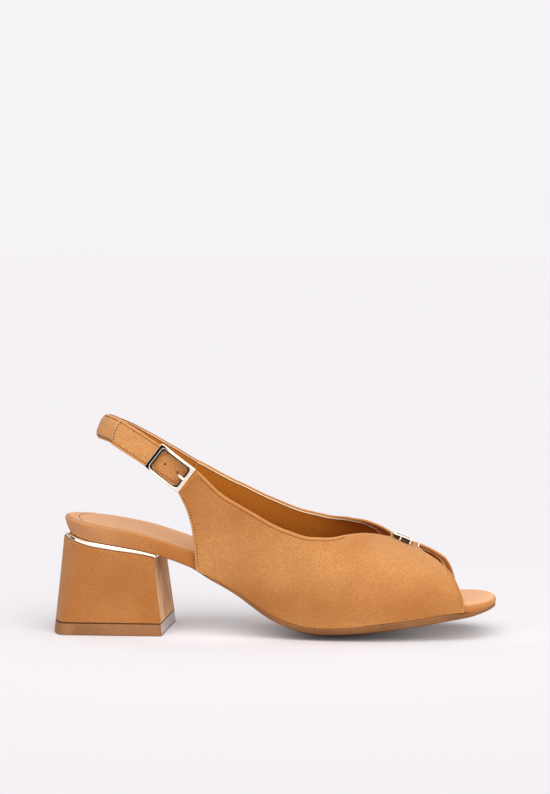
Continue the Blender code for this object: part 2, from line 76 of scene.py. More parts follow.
lastTable = asTable("at ridge spread lean inner", [
    (0.24, 2.12, 12.6, 0.0, 0.0),
    (0.32, 2.06, 12.4, 0.0, 0.0),
    (0.40, 1.96, 10.5, 0.0, 0.0),
    (0.46, 1.80, 8.0, 0.0, 0.0),
    (0.53, 1.57, 2.0, 0.3, 0.0),
    (0.59, 1.32, -1.0, 0.6, 0.0),
    (0.63, 1.14, -1.5, 0.8, 0.0),
    (0.66, 1.05, -1.0, 1.0, 0.0),
    (0.70, 0.987, 0.0, 1.0, 0.6),
    (0.735, 0.920, 0.0, 1.0, 1.3),
    (0.765, 0.856, 0.0, 1.0, 1.0),
    (0.80, 0.796, 0.0, 1.0, 1.0),
    (0.825, 0.765, 0.0, 1.0, 1.2),
    (0.85, 0.741, 0.0, 1.0, 1.2),
    (0.885, 0.690, 0.0, 1.0, 0.6),
    (0.912, 0.632, 0.0, 1.0, 0.0),
    (0.945, 0.540, 0.0, 1.0, 0.0),
])


def smooth(knots, values, at):
    # a cubic through the rows, each row's slope taken from its neighbours
    slope = np.gradient(values, knots)
    at = np.clip(at, knots[0], knots[-1])
    row = np.clip(np.searchsorted(knots, at, side="right") - 1, 0, len(knots) - 2)
    span = knots[row + 1] - knots[row]
    t = (at - knots[row]) / span
    first = (2 * t**3 - 3 * t**2 + 1) * values[row] + (t**3 - 2 * t**2 + t) * span * slope[row]
    second = (3 * t**2 - 2 * t**3) * values[row + 1] + (t**3 - t**2) * span * slope[row + 1]
    return first + second


def readRow(rows, name, x):
    return smooth(rows["at"], rows[name], (np.asarray(x, float) - shoe["seatStart"]) / shoe["length"])


def roundEnd(distance, radius, power):
    # share of the full width at a distance from a rounded end
    return (1 - np.clip(1 - distance / radius, 0, 1) ** power) ** (1 / power)


def ease(x, start, end):
    t = np.clip((x - start) / (end - start), 0, 1)
    return t * t * (3 - 2 * t)


def halfWidth(x, side):
    return shoe["ballWidth"] * readRow(soleTable, "lateral" if side == lateral else "medial", x)


def underside(x):
    return shoe["heelHeight"] * readRow(soleTable, "under", x)


def boardTop(x):
    return underside(x) + readRow(soleTable, "board", x)


def ridgeLine(x):
    return shoe["instep"] * readRow(lastTable, "ridge", x)


def featherEdge(x, side):
    return halfWidth(x, side) + shoe["featherGap"] + shoe["wall"]


def innerRise(x, girth, side):
    return readRow(lastTable, "inner", x) * girth**2 * (side == medial)


def lastPoint(x, girth, side):
    # a squared quarter ellipse from the feather edge (girth 0) over to the ridge (girth 1)
    angle = np.clip(girth, 0, 1) * math.pi / 2
    rise = np.sin(angle) ** shoe["sectionPower"]
    reach = np.maximum(np.cos(angle), 0) ** shoe["sectionPower"]
    lean = readRow(lastTable, "lean", x)
    foot = side * (featherEdge(x, side) + readRow(lastTable, "spread", x) * rise)
    height = underside(x) + (ridgeLine(x) - underside(x)) * rise + innerRise(x, girth, side)
    return np.stack([x, lean + (foot - lean) * reach, height], axis=-1)


def girthAtHeight(x, height, side):
    # found by repeating, because the inner rise depends on the girth itself
    girth = np.full_like(x, 0.5)
    for _ in range(8):
        rise = (height - innerRise(x, girth, side) - underside(x)) / (ridgeLine(x) - underside(x))
        girth = np.arcsin(np.clip(rise, 0, 1) ** (1 / shoe["sectionPower"])) * 2 / math.pi
    return girth


def runAlong(points):
    return np.concatenate([[0], np.cumsum(np.linalg.norm(np.diff(points, axis=0), axis=1))])


def unit(vectors):
    return vectors / np.maximum(np.linalg.norm(vectors, axis=-1, keepdims=True), 1e-9)


def turned(aboutX, aboutY, aboutZ):
    # turn about X, then Y, then Z, in degrees; its columns are the turned axes
    a, b, c = (math.radians(angle) for angle in (aboutX, aboutY, aboutZ))
    turnX = np.array([[1, 0, 0], [0, math.cos(a), -math.sin(a)], [0, math.sin(a), math.cos(a)]])
    turnY = np.array([[math.cos(b), 0, math.sin(b)], [0, 1, 0], [-math.sin(b), 0, math.cos(b)]])
    turnZ = np.array([[math.cos(c), -math.sin(c), 0], [math.sin(c), math.cos(c), 0], [0, 0, 1]])
    return turnZ @ turnY @ turnX


# Mesh helpers

def gridQuads(index):
    # quads of a grid of point numbers; their fronts face along (first way) x (second way)
    corners = [index[:-1, :-1], index[1:, :-1], index[1:, 1:], index[:-1, 1:]]
    return np.stack(corners, axis=-1).reshape(-1, 4)


def gridIndex(points, start=0):
    # a number for each point of a grid, counted on from start
    return start + np.arange(points[..., 0].size).reshape(points.shape[:2])


def closedRound(index):
    return np.concatenate([index, index[:, :1]], axis=1)


def pointNormals(points, quads):
    a, b, c, d = np.moveaxis(points[quads], 1, 0)
    facing = np.cross(c - a, d - b)
    total = np.zeros_like(points)
    for corner in range(4):
        np.add.at(total, quads[:, corner], facing)
    return unit(total)


def addPiece(name, points, faces, materials, slotName, stands=None, finish=None, values=None, sharp=48):
    # finish is each face's place in the list of materials; values are attributes of the points
    mesh = bpy.data.meshes.new(name)
    world = (np.asarray(points, float) - (shoe["originX"], 0, 0)) * mm
    mesh.from_pydata(world.tolist(), [], [list(face) for face in faces])
    for material in materials:
        mesh.materials.append(material)
    if finish is not None:
        mesh.polygons.foreach_set("material_index", np.asarray(finish, np.int32))
    for key, value in (values or {}).items():
        attribute = mesh.attributes.new(key, "FLOAT", "POINT")
        attribute.data.foreach_set("value", np.asarray(value, np.float32))
    mesh.shade_smooth()
    mesh.set_sharp_from_angle(angle=math.radians(sharp))
    piece = bpy.data.objects.new(name, mesh)
    bpy.context.scene.collection.objects.link(piece)
    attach(piece, "root")
    if stands:
        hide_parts(stands)
    mesh.calc_loop_triangles()
    corners = np.empty(len(mesh.loop_triangles) * 3, np.int32)
    mesh.loop_triangles.foreach_get("vertices", corners)
    a, b, c = np.moveaxis(world[corners.reshape(-1, 3)], 1, 0)
    volume = np.einsum("ij,ij->", a, np.cross(b, c)) / 6 * 1e6
    print(f"made {name}: {len(mesh.loop_triangles)} triangles, {volume:.2f} cm3")
    return piece


def stackRings(rings):
    # plan outlines from the top down, closed by strips across the first and the last;
    # an outline runs along the outer side and back along the inner one, so point k faces point -1-k
    rings = np.asarray(rings)
    index = gridIndex(rings)
    half = len(index[0]) // 2
    across = [row[:half] for row in (index[0], index[0, ::-1], index[-1, ::-1], index[-1])]
    top = gridQuads(np.column_stack(across[:2]))
    bottom = gridQuads(np.column_stack(across[2:]))
    return rings.reshape(-1, 3), np.concatenate([gridQuads(closedRound(index)), top, bottom])


def outlineRing(x, outer, inner, height):
    height = np.broadcast_to(height, x.shape)
    first = np.column_stack([x, -outer, height])
    second = np.column_stack([x, inner, height])
    return np.concatenate([first, second[::-1]])


def spread(start, end, count, closer=0.8):
    # stations from start to end, closer together at both ends
    t = np.linspace(0, 1, count)
    return start + (end - start) * (t - closer * np.sin(2 * math.pi * t) / (2 * math.pi))


def bell(distance, width):
    return np.exp(-(distance / width) ** 2)


def quarterRound(inset, drop, count):
    # rows of (inset, drop) round an edge, from the face to the side
    turn = np.linspace(0, math.pi / 2, count)
    return np.column_stack([inset * (1 - np.sin(turn)), drop * (1 - np.cos(turn))])


def cappedFaces(index):
    # quads round a pile of closed rings, and a flat face over each end
    return gridQuads(closedRound(index)).tolist() + [index[0].tolist(), index[-1, ::-1].tolist()]


def sweep(middle, across, out, profile):
    # a closed profile of (across, out) carried along a path, with flat ends
    points = middle[:, None] + across[:, None] * profile[None, :, :1] + out[:, None] * profile[None, :, 1:]
    return points.reshape(-1, 3), cappedFaces(gridIndex(points))


# Materials

def feed(tree, value, socket):
    # a link from another node's output, or else a constant set on the socket
    if hasattr(value, "is_output"):
        tree.links.new(value, socket)
    else:
        socket.default_value = value


def newMaterial(name, colour, roughness, metallic=0.0, **sockets):
    material = bpy.data.materials.new(name)
    material.use_nodes = True
    shader = material.node_tree.nodes["Principled BSDF"]
    sockets.update(Base_Color=(*colour, 1), Roughness=roughness, Metallic=metallic)
    for key, value in sockets.items():
        shader.inputs[key.replace("_", " ")].default_value = value
    return material, material.node_tree, shader


def addNode(tree, kind, settings=None, **inputs):
    node = tree.nodes.new("ShaderNode" + kind)
    for key, value in (settings or {}).items():
        setattr(node, key, value)
    for key, value in inputs.items():
        feed(tree, value, node.inputs[key.replace("_", " ")])
    return node


def calculate(tree, operation, *values, clamp=False):
    node = addNode(tree, "Math", {"operation": operation, "use_clamp": clamp})
    for value, socket in zip(values, node.inputs):
        feed(tree, value, socket)
    return node.outputs[0]


def remap(tree, value, low, high, toLow=0.0, toHigh=1.0):
    node = addNode(tree, "MapRange", Value=value, From_Min=low, From_Max=high, To_Min=toLow, To_Max=toHigh)
    return node.outputs["Result"]


def noiseAt(tree, vector, scale, detail=3.0, roughness=0.6, span=(0.3, 0.7)):
    # a noise of which the given span fills 0 to 1
    node = addNode(tree, "TexNoise", Vector=vector, Scale=scale, Detail=detail, Roughness=roughness)
    return remap(tree, node.outputs["Fac"], *span)


def mixColour(tree, share, first, second):
    node = addNode(tree, "Mix", {"data_type": "RGBA"}, Factor=share)
    for value, socket in zip((first, second), node.inputs[6:8]):     # the mix node's two colours
        feed(tree, (*value, 1) if isinstance(value, tuple) else value, socket)
    return node.outputs[2]


def objectVector(tree, stretch=(1, 1, 1)):
    vector = addNode(tree, "TexCoord").outputs["Object"]
    return addNode(tree, "Mapping", Vector=vector, Scale=stretch).outputs["Vector"]


def attributeOf(tree, name):
    return addNode(tree, "Attribute", {"attribute_name": name}).outputs["Fac"]


def bumpFrom(tree, shader, height, distance, strength=1.0):
    bump = addNode(tree, "Bump", Height=height, Distance=distance, Strength=strength)
    feed(tree, bump.outputs["Normal"], shader.inputs["Normal"])


def tinted(colour, by):
    return tuple(min(1.0, by * value) for value in colour)


suedeLook = {
    "pale": (0.68, 0.315, 0.106), "mid": (0.45, 0.168, 0.042), "deep": (0.35, 0.122, 0.026),
    "roughness": 0.8, "sheen": 0.3, "sheenTint": (1.0, 0.80, 0.60), "clouds": 0.35, "cloudScale": 26.0,
    "napScale": 900.0, "napStretch": (1.0, 1.0, 0.55), "napShade": 0.26, "napRelief": 0.6,
    "grainScale": 1500.0, "grainShade": 0.50, "grainDepth": 0.00025, "relief": 0.8, "paintedHighlight": 1.2,
    # how pale the nap is at heights in metres, as painted light and shade: darker low down and at the back of
    # the quarters
    "paintedShadeByHeight": [
        (0.002, 0.80), (0.007, 0.62), (0.012, 0.05), (0.022, 0.0), (0.036, 1.0), (0.053, 1.0), (0.066, 0.08),
        (0.085, 0.15),
    ],
}
coverLook = {**suedeLook, "paintedShadeByHeight": None, "even": 0.04}       # heel and footbed: near the mid tone all over, as painted shade
bandLook = {
    **suedeLook, "pale": (0.73, 0.345, 0.124), "deep": (0.44, 0.172, 0.046), "paintedShadeByHeight": None, "even": 0.66,
}
sockLook = {
    **suedeLook, "pale": (0.72, 0.405, 0.215), "mid": (0.66, 0.345, 0.168), "deep": (0.53, 0.245, 0.104),
    "roughness": 0.7, "sheen": 0.12, "sheenTint": (1.0, 0.85, 0.7), "cloudScale": 40.0, "grainDepth": 0.00008,
    "paintedShadeByHeight": None, "even": 0.5,
}


def heightIn(tree, vector):
    return addNode(tree, "SeparateXYZ", Vector=vector).outputs["Z"]


def paintedShadeAt(tree, vector, rows):
    # a soft ramp over the height, with a stop at each row
    top = rows[-1][0]
    ramp = addNode(tree, "ValToRGB", Fac=remap(tree, heightIn(tree, vector), 0.0, top))
    ramp.color_ramp.interpolation = "B_SPLINE"
    stops = ramp.color_ramp.elements
    for at, _ in rows[1:-1]:
        stops.new(at / top)
    for stop, (at, share) in zip(stops, rows):
        stop.position, stop.color = at / top, (share, share, share, 1)
    return ramp.outputs["Color"]


def suedeColour(tree, look):
    # painted light and shade by height and clouds of nap set pale against mid; nap and grain set both against
    # deep;
    # the attribute "edge" is where a painted highlight makes an edge paler
    vector = objectVector(tree)
    clouds = noiseAt(tree, vector, look["cloudScale"], 2.0)
    clouds = remap(tree, clouds, 0.0, 1.0, -look["clouds"], look["clouds"])
    nap = noiseAt(tree, objectVector(tree, look["napStretch"]), look["napScale"])
    grain = noiseAt(tree, vector, look["grainScale"], 2.0, span=(0.36, 0.64))
    even = paintedShadeAt(tree, vector, look["paintedShadeByHeight"]) if look["paintedShadeByHeight"] else look["even"]
    paleness = calculate(tree, "ADD", clouds, even, clamp=True)
    broad = mixColour(tree, paleness, look["mid"], look["pale"])
    napped = mixColour(tree, remap(tree, nap, 0.0, 1.0, 0.0, look["napShade"]), broad, look["deep"])
    grained = mixColour(tree, remap(tree, grain, 0.0, 1.0, look["grainShade"], 0.0), napped, look["deep"])
    # painted highlight: the paler tint where an edge catches the light
    paintedHighlight = tinted(look["pale"], look["paintedHighlight"])
    return mixColour(tree, attributeOf(tree, "edge"), grained, paintedHighlight), grain, nap


def makeSuede(name, look, towards=None):
    material, tree, shader = newMaterial(
        name, look["mid"], look["roughness"], Sheen_Weight=look["sheen"], Sheen_Roughness=0.5,
        Sheen_Tint=(*look["sheenTint"], 1), Specular_IOR_Level=0.1)
    colour, grain, nap = suedeColour(tree, look)
    if towards:                            # another suede that takes over by the attribute "toe"
        colour = mixColour(tree, attributeOf(tree, "toe"), colour, suedeColour(tree, towards)[0])
    feed(tree, colour, shader.inputs["Base Color"])
    height = calculate(tree, "MULTIPLY_ADD", nap, look["napRelief"], grain)
    bumpFrom(tree, shader, height, look["grainDepth"], look["relief"])
    return material


liningLook = {
    "lining": (0.36, 0.107, 0.010), "liningPale": (0.43, 0.140, 0.017), "liningShaded": (0.115, 0.020, 0.001),
    "shadeFrom": (5.0, 27.0), "cut": (0.78, 0.59, 0.37), "cutWidth": 0.45, "seam": (0.13, 0.040, 0.010),
    "seamWidth": 0.45, "roughness": 0.55, "suedeRoughness": 0.85, "grainScale": 1100.0, "grainDepth": 0.00005,
}


def makeLining(name, look, suede):
    # by the distance past the turned-in suede: the lining's pale cut edge, a sewn line, then the lining
    material, tree, shader = newMaterial(name, look["lining"], look["roughness"], Specular_IOR_Level=0.06)
    colour, grain, _ = suedeColour(tree, suede)
    past = attributeOf(tree, "past")

    def beyond(distance, blur):
        return remap(tree, past, distance - blur, distance + blur)
    skin = noiseAt(tree, objectVector(tree), look["grainScale"])
    lining = mixColour(tree, skin, look["lining"], look["liningPale"])
    # painted shade: the lining darkens further in past the rim
    lining = mixColour(tree, remap(tree, past, *look["shadeFrom"]), lining, look["liningShaded"])
    isLining = beyond(look["cutWidth"] + look["seamWidth"], 0.1)
    edged = mixColour(tree, beyond(0.0, 0.03), colour, look["cut"])
    # a dark sewn line, which also stands for the painted shade beyond the cut edge
    edged = mixColour(tree, beyond(look["cutWidth"], 0.05), edged, look["seam"])
    feed(tree, mixColour(tree, isLining, edged, lining), shader.inputs["Base Color"])
    roughness = remap(tree, isLining, 0.0, 1.0, look["suedeRoughness"], look["roughness"])
    feed(tree, roughness, shader.inputs["Roughness"])
    bumpFrom(tree, shader, mixColour(tree, isLining, grain, skin), look["grainDepth"])
    return material


breastLook = {
    # pale and deep are paler than the cover's suede: painted light on the breast
    "pale": (0.97, 0.63, 0.34), "deep": (0.62, 0.28, 0.115), "roughness": 0.75, "streakScale": 420.0,
    "stretch": (1.0, 1.0, 0.035), "fineShare": 0.4, "depth": 0.0003,
}


def makeBreast(name, look):
    # the cover is drawn tight over the breast: upright streaks from a noise stretched along Z
    material, tree, shader = newMaterial(name, look["pale"], look["roughness"], Specular_IOR_Level=0.3)
    vector = objectVector(tree, look["stretch"])
    streak = noiseAt(tree, vector, look["streakScale"], roughness=0.55, span=(0.36, 0.66))
    fine = noiseAt(tree, objectVector(tree), suedeLook["grainScale"], span=(0.0, 1.0))
    feed(tree, mixColour(tree, streak, look["deep"], look["pale"]), shader.inputs["Base Color"])
    bumpFrom(tree, shader, mixColour(tree, look["fineShare"], streak, fine), look["depth"])
    return material


rubberLook = {
    "colour": (0.315, 0.138, 0.053), "band": (0.245, 0.102, 0.034), "tread": (0.18, 0.072, 0.022),
    # line is painted shade along the outsole's top, in the gap under the upper
    "line": (0.20, 0.078, 0.028), "darker": 0.72, "paler": 1.18, "roughness": (0.42, 0.62),
    "grainScale": 1400.0, "grainDepth": 0.00004, "broadScale": 60.0, "paintedShadeLow": 0.20, "paintedShadeHeight": 0.0075,
}


def makeRubber(name, look, colour, paintedShadeLow=False):
    material, tree, shader = newMaterial(name, colour, look["roughness"][1], Specular_IOR_Level=0.2)
    vector = objectVector(tree)
    fine, broad = (noiseAt(tree, vector, look[key]) for key in ("grainScale", "broadScale"))
    tint = mixColour(tree, broad, tinted(colour, look["darker"]), tinted(colour, look["paler"]))
    if paintedShadeLow:                             # painted shade: darker towards the floor
        clean = remap(tree, heightIn(tree, vector), 0.0, look["paintedShadeHeight"])
        tint = mixColour(tree, clean, tinted(colour, look["paintedShadeLow"]), tint)
    feed(tree, tint, shader.inputs["Base Color"])
    feed(tree, remap(tree, fine, 0.0, 1.0, *look["roughness"]), shader.inputs["Roughness"])
    bumpFrom(tree, shader, fine, look["grainDepth"])
    return material


goldLook = {"colour": (0.96, 0.86, 0.70), "paler": 1.06, "roughness": (0.04, 0.09), "wearScale": 300.0}
lipLook = {**goldLook, "colour": (0.36, 0.17, 0.062), "roughness": (0.18, 0.23)}     # its brown is a painted reflection of the strap


def makeGold(name, look):
    material, tree, shader = newMaterial(name, look["colour"], look["roughness"][1], 1.0)
    vector = objectVector(tree, (1.0, 1.0, 0.2))
    wear = noiseAt(tree, vector, look["wearScale"], 4.0, span=(0.35, 0.75))
    feed(tree, remap(tree, wear, 0.0, 1.0, *look["roughness"]), shader.inputs["Roughness"])
    colour = mixColour(tree, wear, tinted(look["colour"], look["paler"]), look["colour"])
    feed(tree, colour, shader.inputs["Base Color"])
    return material


def makePlain(name, colour, roughness, grainScale=1200.0, depth=0.00003, darker=0.7):
    # a small even surface such as thread or a hole's inside: its own tint varied by a fine noise
    material, tree, shader = newMaterial(name, colour, roughness, Specular_IOR_Level=0.25)
    fine = noiseAt(tree, objectVector(tree), grainScale, 2.0)
    feed(tree, mixColour(tree, fine, tinted(colour, darker), colour), shader.inputs["Base Color"])
    bumpFrom(tree, shader, fine, depth)
    return material


suede = makeSuede("suede", suedeLook)
bandSuede = makeSuede("bandSuede", bandLook)
cover = makeSuede("coverSuede", coverLook)
sock = makeSuede("sockSuede", sockLook, coverLook)
lining = makeLining("lining", liningLook, suedeLook)
rubber = makeRubber("soleRubber", rubberLook, rubberLook["colour"])
treadRubber = makeRubber("treadRubber", rubberLook, rubberLook["tread"], True)
rubberBand = makeRubber("soleBand", rubberLook, rubberLook["band"], True)
rubberGapShade = makeRubber("soleGapShade", rubberLook, rubberLook["line"])
gold = makeGold("gold", goldLook)
breastSuede = makeBreast("breastSuede", breastLook)
# the lift's breast is paler than its sides as a painted reflection
liftFace = makePlain("liftFace", (0.64, 0.545, 0.52), 0.6)
# painted shade for the narrow gaps under the heel's cover and along the lift
paintedCreviceShade = makePlain("paintedCreviceShade", (0.10, 0.033, 0.011), 0.85)
thread = makePlain("thread", (0.17, 0.058, 0.018), 0.8)
paleThread = makePlain("paleThread", (0.58, 0.26, 0.085), 0.8)
sockSeam = makePlain("sockSeam", (0.36, 0.155, 0.062), 0.8)
goldLip = makeGold("goldLip", lipLook)
# painted shade in the buckle's groove
goldShade = makePlain("goldShade", (0.030, 0.020, 0.012), 0.35)
# painted shade in the gap under the slide
paintedSlideShadow = makePlain("paintedSlideShadow", (0.075, 0.026, 0.010), 0.6, 700.0, 0.0001)
# painted shade: the dark inside of stitch holes and punched holes
holeDark = makePlain("stitchHole", (0.085, 0.028, 0.010), 0.9)
cutEdge = makePlain("cutEdge", (0.80, 0.52, 0.28), 0.8)
print("materials made")


# Petals of the upper

petals = {
    "slit": 1.2, "throatX": 176.4, "frontX": 191.0, "bridgeFrom": 0.9, "bridgeEase": 0.03, "earFrom": 2 / 3,
    "edgeRound": 0.6, "edgeWall": 1.3, "wallFrom": (-0.05, 0.4), "alongLength": 142.0, "upLength": 48.0,
    "fineStep": 0.35, "fineSpan": 4.4, "coarseStep": 1.2, "bridgeSteps": 6, "rimSteps": 6,
    "edgeSamples": 1201, "facing": {"top": 0.35, "front": 2.3, "rear": 0.4}, "runsOn": 50.0,
    "throatFrom": 146.0, "throatTo": 174.0, "throatFacing": 20.0, "throatPower": 4, "throatCut": 3.5,
    "seamAt": 1.4, "seamDepth": 0.24, "seamWidth": 0.42, "seamEnd": (150, 168),
    "paintedHighlight": 0.32, "paintedHighlightWidth": 0.55,
}
rearTable = asTable("up x height", [
    (0.00, 75.0, 34.0), (0.35, 73.9, 51.4), (0.65, 72.2, 62.0), (0.80, 70.4, 68.0), (1.00, 66.1, 77.1),
])
petalRows = {
    lateral: {
        "ear": (66.1, 77.1),
        "topline": [
            (76.1, 0.364), (90.2, 0.297), (107.5, 0.305), (123.5, 0.332), (136.6, 0.395), (146.4, 0.504),
            (155.5, 0.637), (161.0, 0.697), (166.0, 0.757), (170.6, 0.820), (173.6, 0.870), (175.6, 0.925),
        ],
        "front": [
            (215.4, 0.0), (215.3, 0.16), (213.1, 0.334), (210.4, 0.495), (206.2, 0.622), (200.9, 0.722),
            (194.6, 0.83),
        ],
    },
    medial: {
        "ear": (63.5, 76.9),
        "topline": [
            (69.2, 0.346), (90.0, 0.319), (110.9, 0.355), (131.9, 0.4445), (140.7, 0.5295), (147.1, 0.6345),
            (152.8, 0.739), (158.3, 0.805), (163.9, 0.848), (168.8, 0.872), (172.8, 0.903), (175.5, 0.945),
        ],
        "front": [
            (209.4, 0.0), (209.3, 0.16), (208.1, 0.324), (206.1, 0.503), (203.6, 0.620), (199.6, 0.690),
            (193.2, 0.822),
        ],
    },
}


def edgeCurve(rows, end, side, share):
    # points at shares of the run along an edge, through its rows of (x, girth) and on to its end
    row = np.array([*rows, end])
    run = runAlong(lastPoint(row[:, 0], row[:, 1], side))
    return np.column_stack([smooth(run, row[:, k], share * run[-1]) for k in (0, 1)])


def petalEdges(side):
    rows = petalRows[side]
    share = np.linspace(0, 1, petals["edgeSamples"])
    slitX = np.interp(share, (petals["bridgeFrom"], 1), (petals["throatX"], petals["frontX"]))
    lean = readRow(lastTable, "lean", slitX)
    reach = (side * petals["slit"] - lean) / (side * featherEdge(slitX, side) - lean)
    slit = np.column_stack([slitX, np.arccos(np.abs(reach) ** (1 / shoe["sectionPower"])) * 2 / math.pi])
    topline = edgeCurve(rows["topline"], slit[0], side, np.clip(share / petals["bridgeFrom"], 0, 1))
    top = np.where((share < petals["bridgeFrom"])[:, None], topline, slit)
    front = edgeCurve(rows["front"], slit[-1], side, share)
    up = np.clip(share / petals["earFrom"], 0, 1)
    alongEar = np.clip((share - petals["earFrom"]) / (1 - petals["earFrom"]), 0, 1)
    corner = lastPoint(top[0, 0], top[0, 1], side)

    def rearTo(key, ear, end):
        # the rear edge's own rows, led to the ear's tip and then straight on to the topline's corner
        value = smooth(rearTable["up"], rearTable[key], up) + (ear - rearTable[key][-1]) * up**2
        return value + (end - ear) * alongEar
    rearX = rearTo("x", rows["ear"][0], corner[0])
    rear = np.column_stack([rearX, girthAtHeight(rearX, rearTo("height", rows["ear"][1], corner[2]), side)])
    foot = np.column_stack([rearTable["x"][0] + (front[0, 0] - rearTable["x"][0]) * share, 0 * share])
    rear[0] = foot[0]
    return {"share": share, "top": top, "front": front, "rear": rear, "foot": foot}


def petalPoint(edges, side, u, v):
    # a patch between four edges, blended in (x, girth) and laid on the last
    def along(name, at):
        return np.stack([np.interp(at, edges["share"], edges[name][:, k]) for k in (0, 1)], axis=-1)
    uu, vv = u[..., None], v[..., None]
    foot, top = edges["foot"], edges["top"]
    ways = (1 - vv) * along("foot", u) + vv * along("top", u)
    ways += (1 - uu) * along("rear", v) + uu * along("front", v)
    ways -= (1 - uu) * ((1 - vv) * foot[0] + vv * top[0]) + uu * ((1 - vv) * foot[-1] + vv * top[-1])
    return lastPoint(ways[..., 0], np.clip(ways[..., 1], 0, 1), side)


def gradedShares(length, fineStart, fineEnd):
    # shares of a length with fine steps beside the ends that are free edges
    fine = np.arange(petals["edgeRound"], petals["fineSpan"], petals["fineStep"])
    start = fine if fineStart else np.array([0.0])
    end = length - fine[::-1] if fineEnd else np.array([length])
    count = int(round((end[0] - start[-1]) / petals["coarseStep"]))
    return np.concatenate([start, np.linspace(start[-1], end[0], count + 1)[1:-1], end]) / length


petalShapes = {side: petalEdges(side) for side in (lateral, medial)}


def petalSheet():
    # both petals as grids of points, and a bridge that is a soft step between the slit's two edges
    along = gradedShares(petals["alongLength"], True, True)
    start = int(np.argmin(np.abs(along - petals["bridgeFrom"])))
    along[start] = petals["bridgeFrom"]
    up = gradedShares(petals["upLength"], False, True)
    up = up / up[-1]
    inset = petals["edgeRound"] / petals["upLength"]
    most = 1 - inset * (1 - ease(along, petals["bridgeFrom"] - petals["bridgeEase"], petals["bridgeFrom"]))
    u = np.broadcast_to(along[:, None], (len(along), len(up)))
    v = most[:, None] * up[None]
    outer, inner = (petalPoint(petalShapes[side], side, u, v) for side in (lateral, medial))
    first, second = gridIndex(outer), gridIndex(inner, u.size)
    share = np.linspace(0, 1, petals["bridgeSteps"] + 1)[1:-1]
    left, right = outer[start:, -1], inner[start:, -1]
    bridge = left[:, None] + (right - left)[:, None] * share[None, :, None]
    bridge[..., 2] = left[:, 2:] + (right - left)[:, 2:] * ease(share, 0, 1)
    joined = np.column_stack([first[start:, -1], gridIndex(bridge, 2 * u.size), second[start:, -1]])
    return np.concatenate([grid.reshape(-1, 3) for grid in (outer, inner, bridge)]), first, second, joined


def petalBorder(first, second, joined):
    # round the border: each point, its neighbour inside the sheet, and the edge that it lies on
    b = len(first) - len(joined)           # the column at which the bridge starts
    border = [
        (first[:-1, 0], first[:-1, 1], "foot"), (first[-1, :-1], first[-2, :-1], "front"),
        (joined[-1, :-1], joined[-2, :-1], "front"), (second[-1, :0:-1], second[-2, :0:-1], "front"),
        (second[:0:-1, 0], second[:0:-1, 1], "foot"), (second[0, :-1], second[1, :-1], "rear"),
        (second[:b, -1], second[:b, -2], "top"), (joined[0, :0:-1], joined[1, :0:-1], "top"),
        (first[b:0:-1, -1], first[b:0:-1, -2], "top"), (first[0, :0:-1], first[1, :0:-1], "rear"),
    ]
    rim, inside = (np.concatenate([part[k] for part in border]) for k in (0, 1))
    return rim, inside, np.concatenate([np.full(len(part[0]), part[2]) for part in border])


def makePetals():
    points, first, second, joined = petalSheet()
    quads = np.concatenate([gridQuads(first), gridQuads(second[::-1]), gridQuads(joined)])
    normals = pointNormals(points, quads)
    rim, inside, group = petalBorder(first, second, joined)
    free = group != "foot"
    distance = {}
    for word in petals["facing"]:
        line = points[rim[group == word]]
        reach = (points**2).sum(1)[:, None] + (line**2).sum(1)[None] - 2 * points @ line.T
        distance[word] = np.sqrt(np.maximum(reach.min(1), 0))
    distance["rear"] += petals["runsOn"] * (points[:, 1] > 0)     # the inner lining goes on into the sling

    # how far each point lies past the turned-in suede; towards the throat the facing widens,
    # and the lining's cut edge lies open
    past = {word: distance[word] - width for word, width in petals["facing"].items()}
    near = (points[:, 0] - petals["throatFrom"]) / (petals["throatTo"] - petals["throatFrom"])
    near = np.clip(near, 0, 1)
    openCut = 1 + petals["throatCut"] * near
    fromTop = past["top"] - petals["throatFacing"] * near ** petals["throatPower"]
    past["top"] = np.where(fromTop < openCut, fromTop / openCut, fromTop - openCut + 1)
    past = np.min([*past.values()], axis=0)
    thick = petals["edgeWall"] + (shoe["wall"] - petals["edgeWall"]) * ease(past, *petals["wallFrom"])
    backs = points - normals * thick[:, None]
    groove = petals["seamDepth"] * bell(distance["top"] - petals["seamAt"], petals["seamWidth"])
    groove = groove * (1 - ease(points[:, 0], *petals["seamEnd"]))
    points = points - normals * groove[:, None]

    # the rim rolls from the outside to the back, and stands out where the edge is free
    tangent = unit(np.roll(points[rim], -1, axis=0) - np.roll(points[rim], 1, axis=0))
    outwards = points[rim] - points[inside]
    for axis in (normals[rim], tangent):
        outwards = outwards - axis * (outwards * axis).sum(1, keepdims=True)
    outwards = unit(outwards) * (petals["edgeRound"] * free)[:, None]
    turn = np.linspace(0, math.pi, petals["rimSteps"] + 1)[1:-1, None, None]
    centre, half = (points[rim] + backs[rim]) / 2, (points[rim] - backs[rim]) / 2
    roll = (centre + half * np.cos(turn) + outwards * np.sin(turn)).transpose(1, 0, 2)
    count = len(points)
    strip = np.column_stack([rim, gridIndex(roll, 2 * count), rim + count])
    strip = np.concatenate([strip, strip[:1]])
    faces = np.concatenate([quads, gridQuads(strip)[:, ::-1], quads[:, ::-1] + count])
    finish = np.repeat([0, 1], [len(faces) - len(quads), len(quads)])
    # painted highlight along the edges and over the rolled rim
    paintedHighlight = petals["paintedHighlight"] * bell(np.min([*distance.values()], axis=0), petals["paintedHighlightWidth"])
    values = {
        "past": np.concatenate([past, past, np.full(roll[..., 0].size, -1.0)]),
        "edge": np.concatenate([paintedHighlight, paintedHighlight, np.repeat(petals["paintedHighlight"] * free, len(turn))]),
    }
    everything = np.concatenate([points, backs, roll.reshape(-1, 3)])
    addPiece("upperPetals", everything, faces, [suede, lining], "upper", "upper", finish, values)


makePetals()


# Sling band and the buckle strap over its outer end

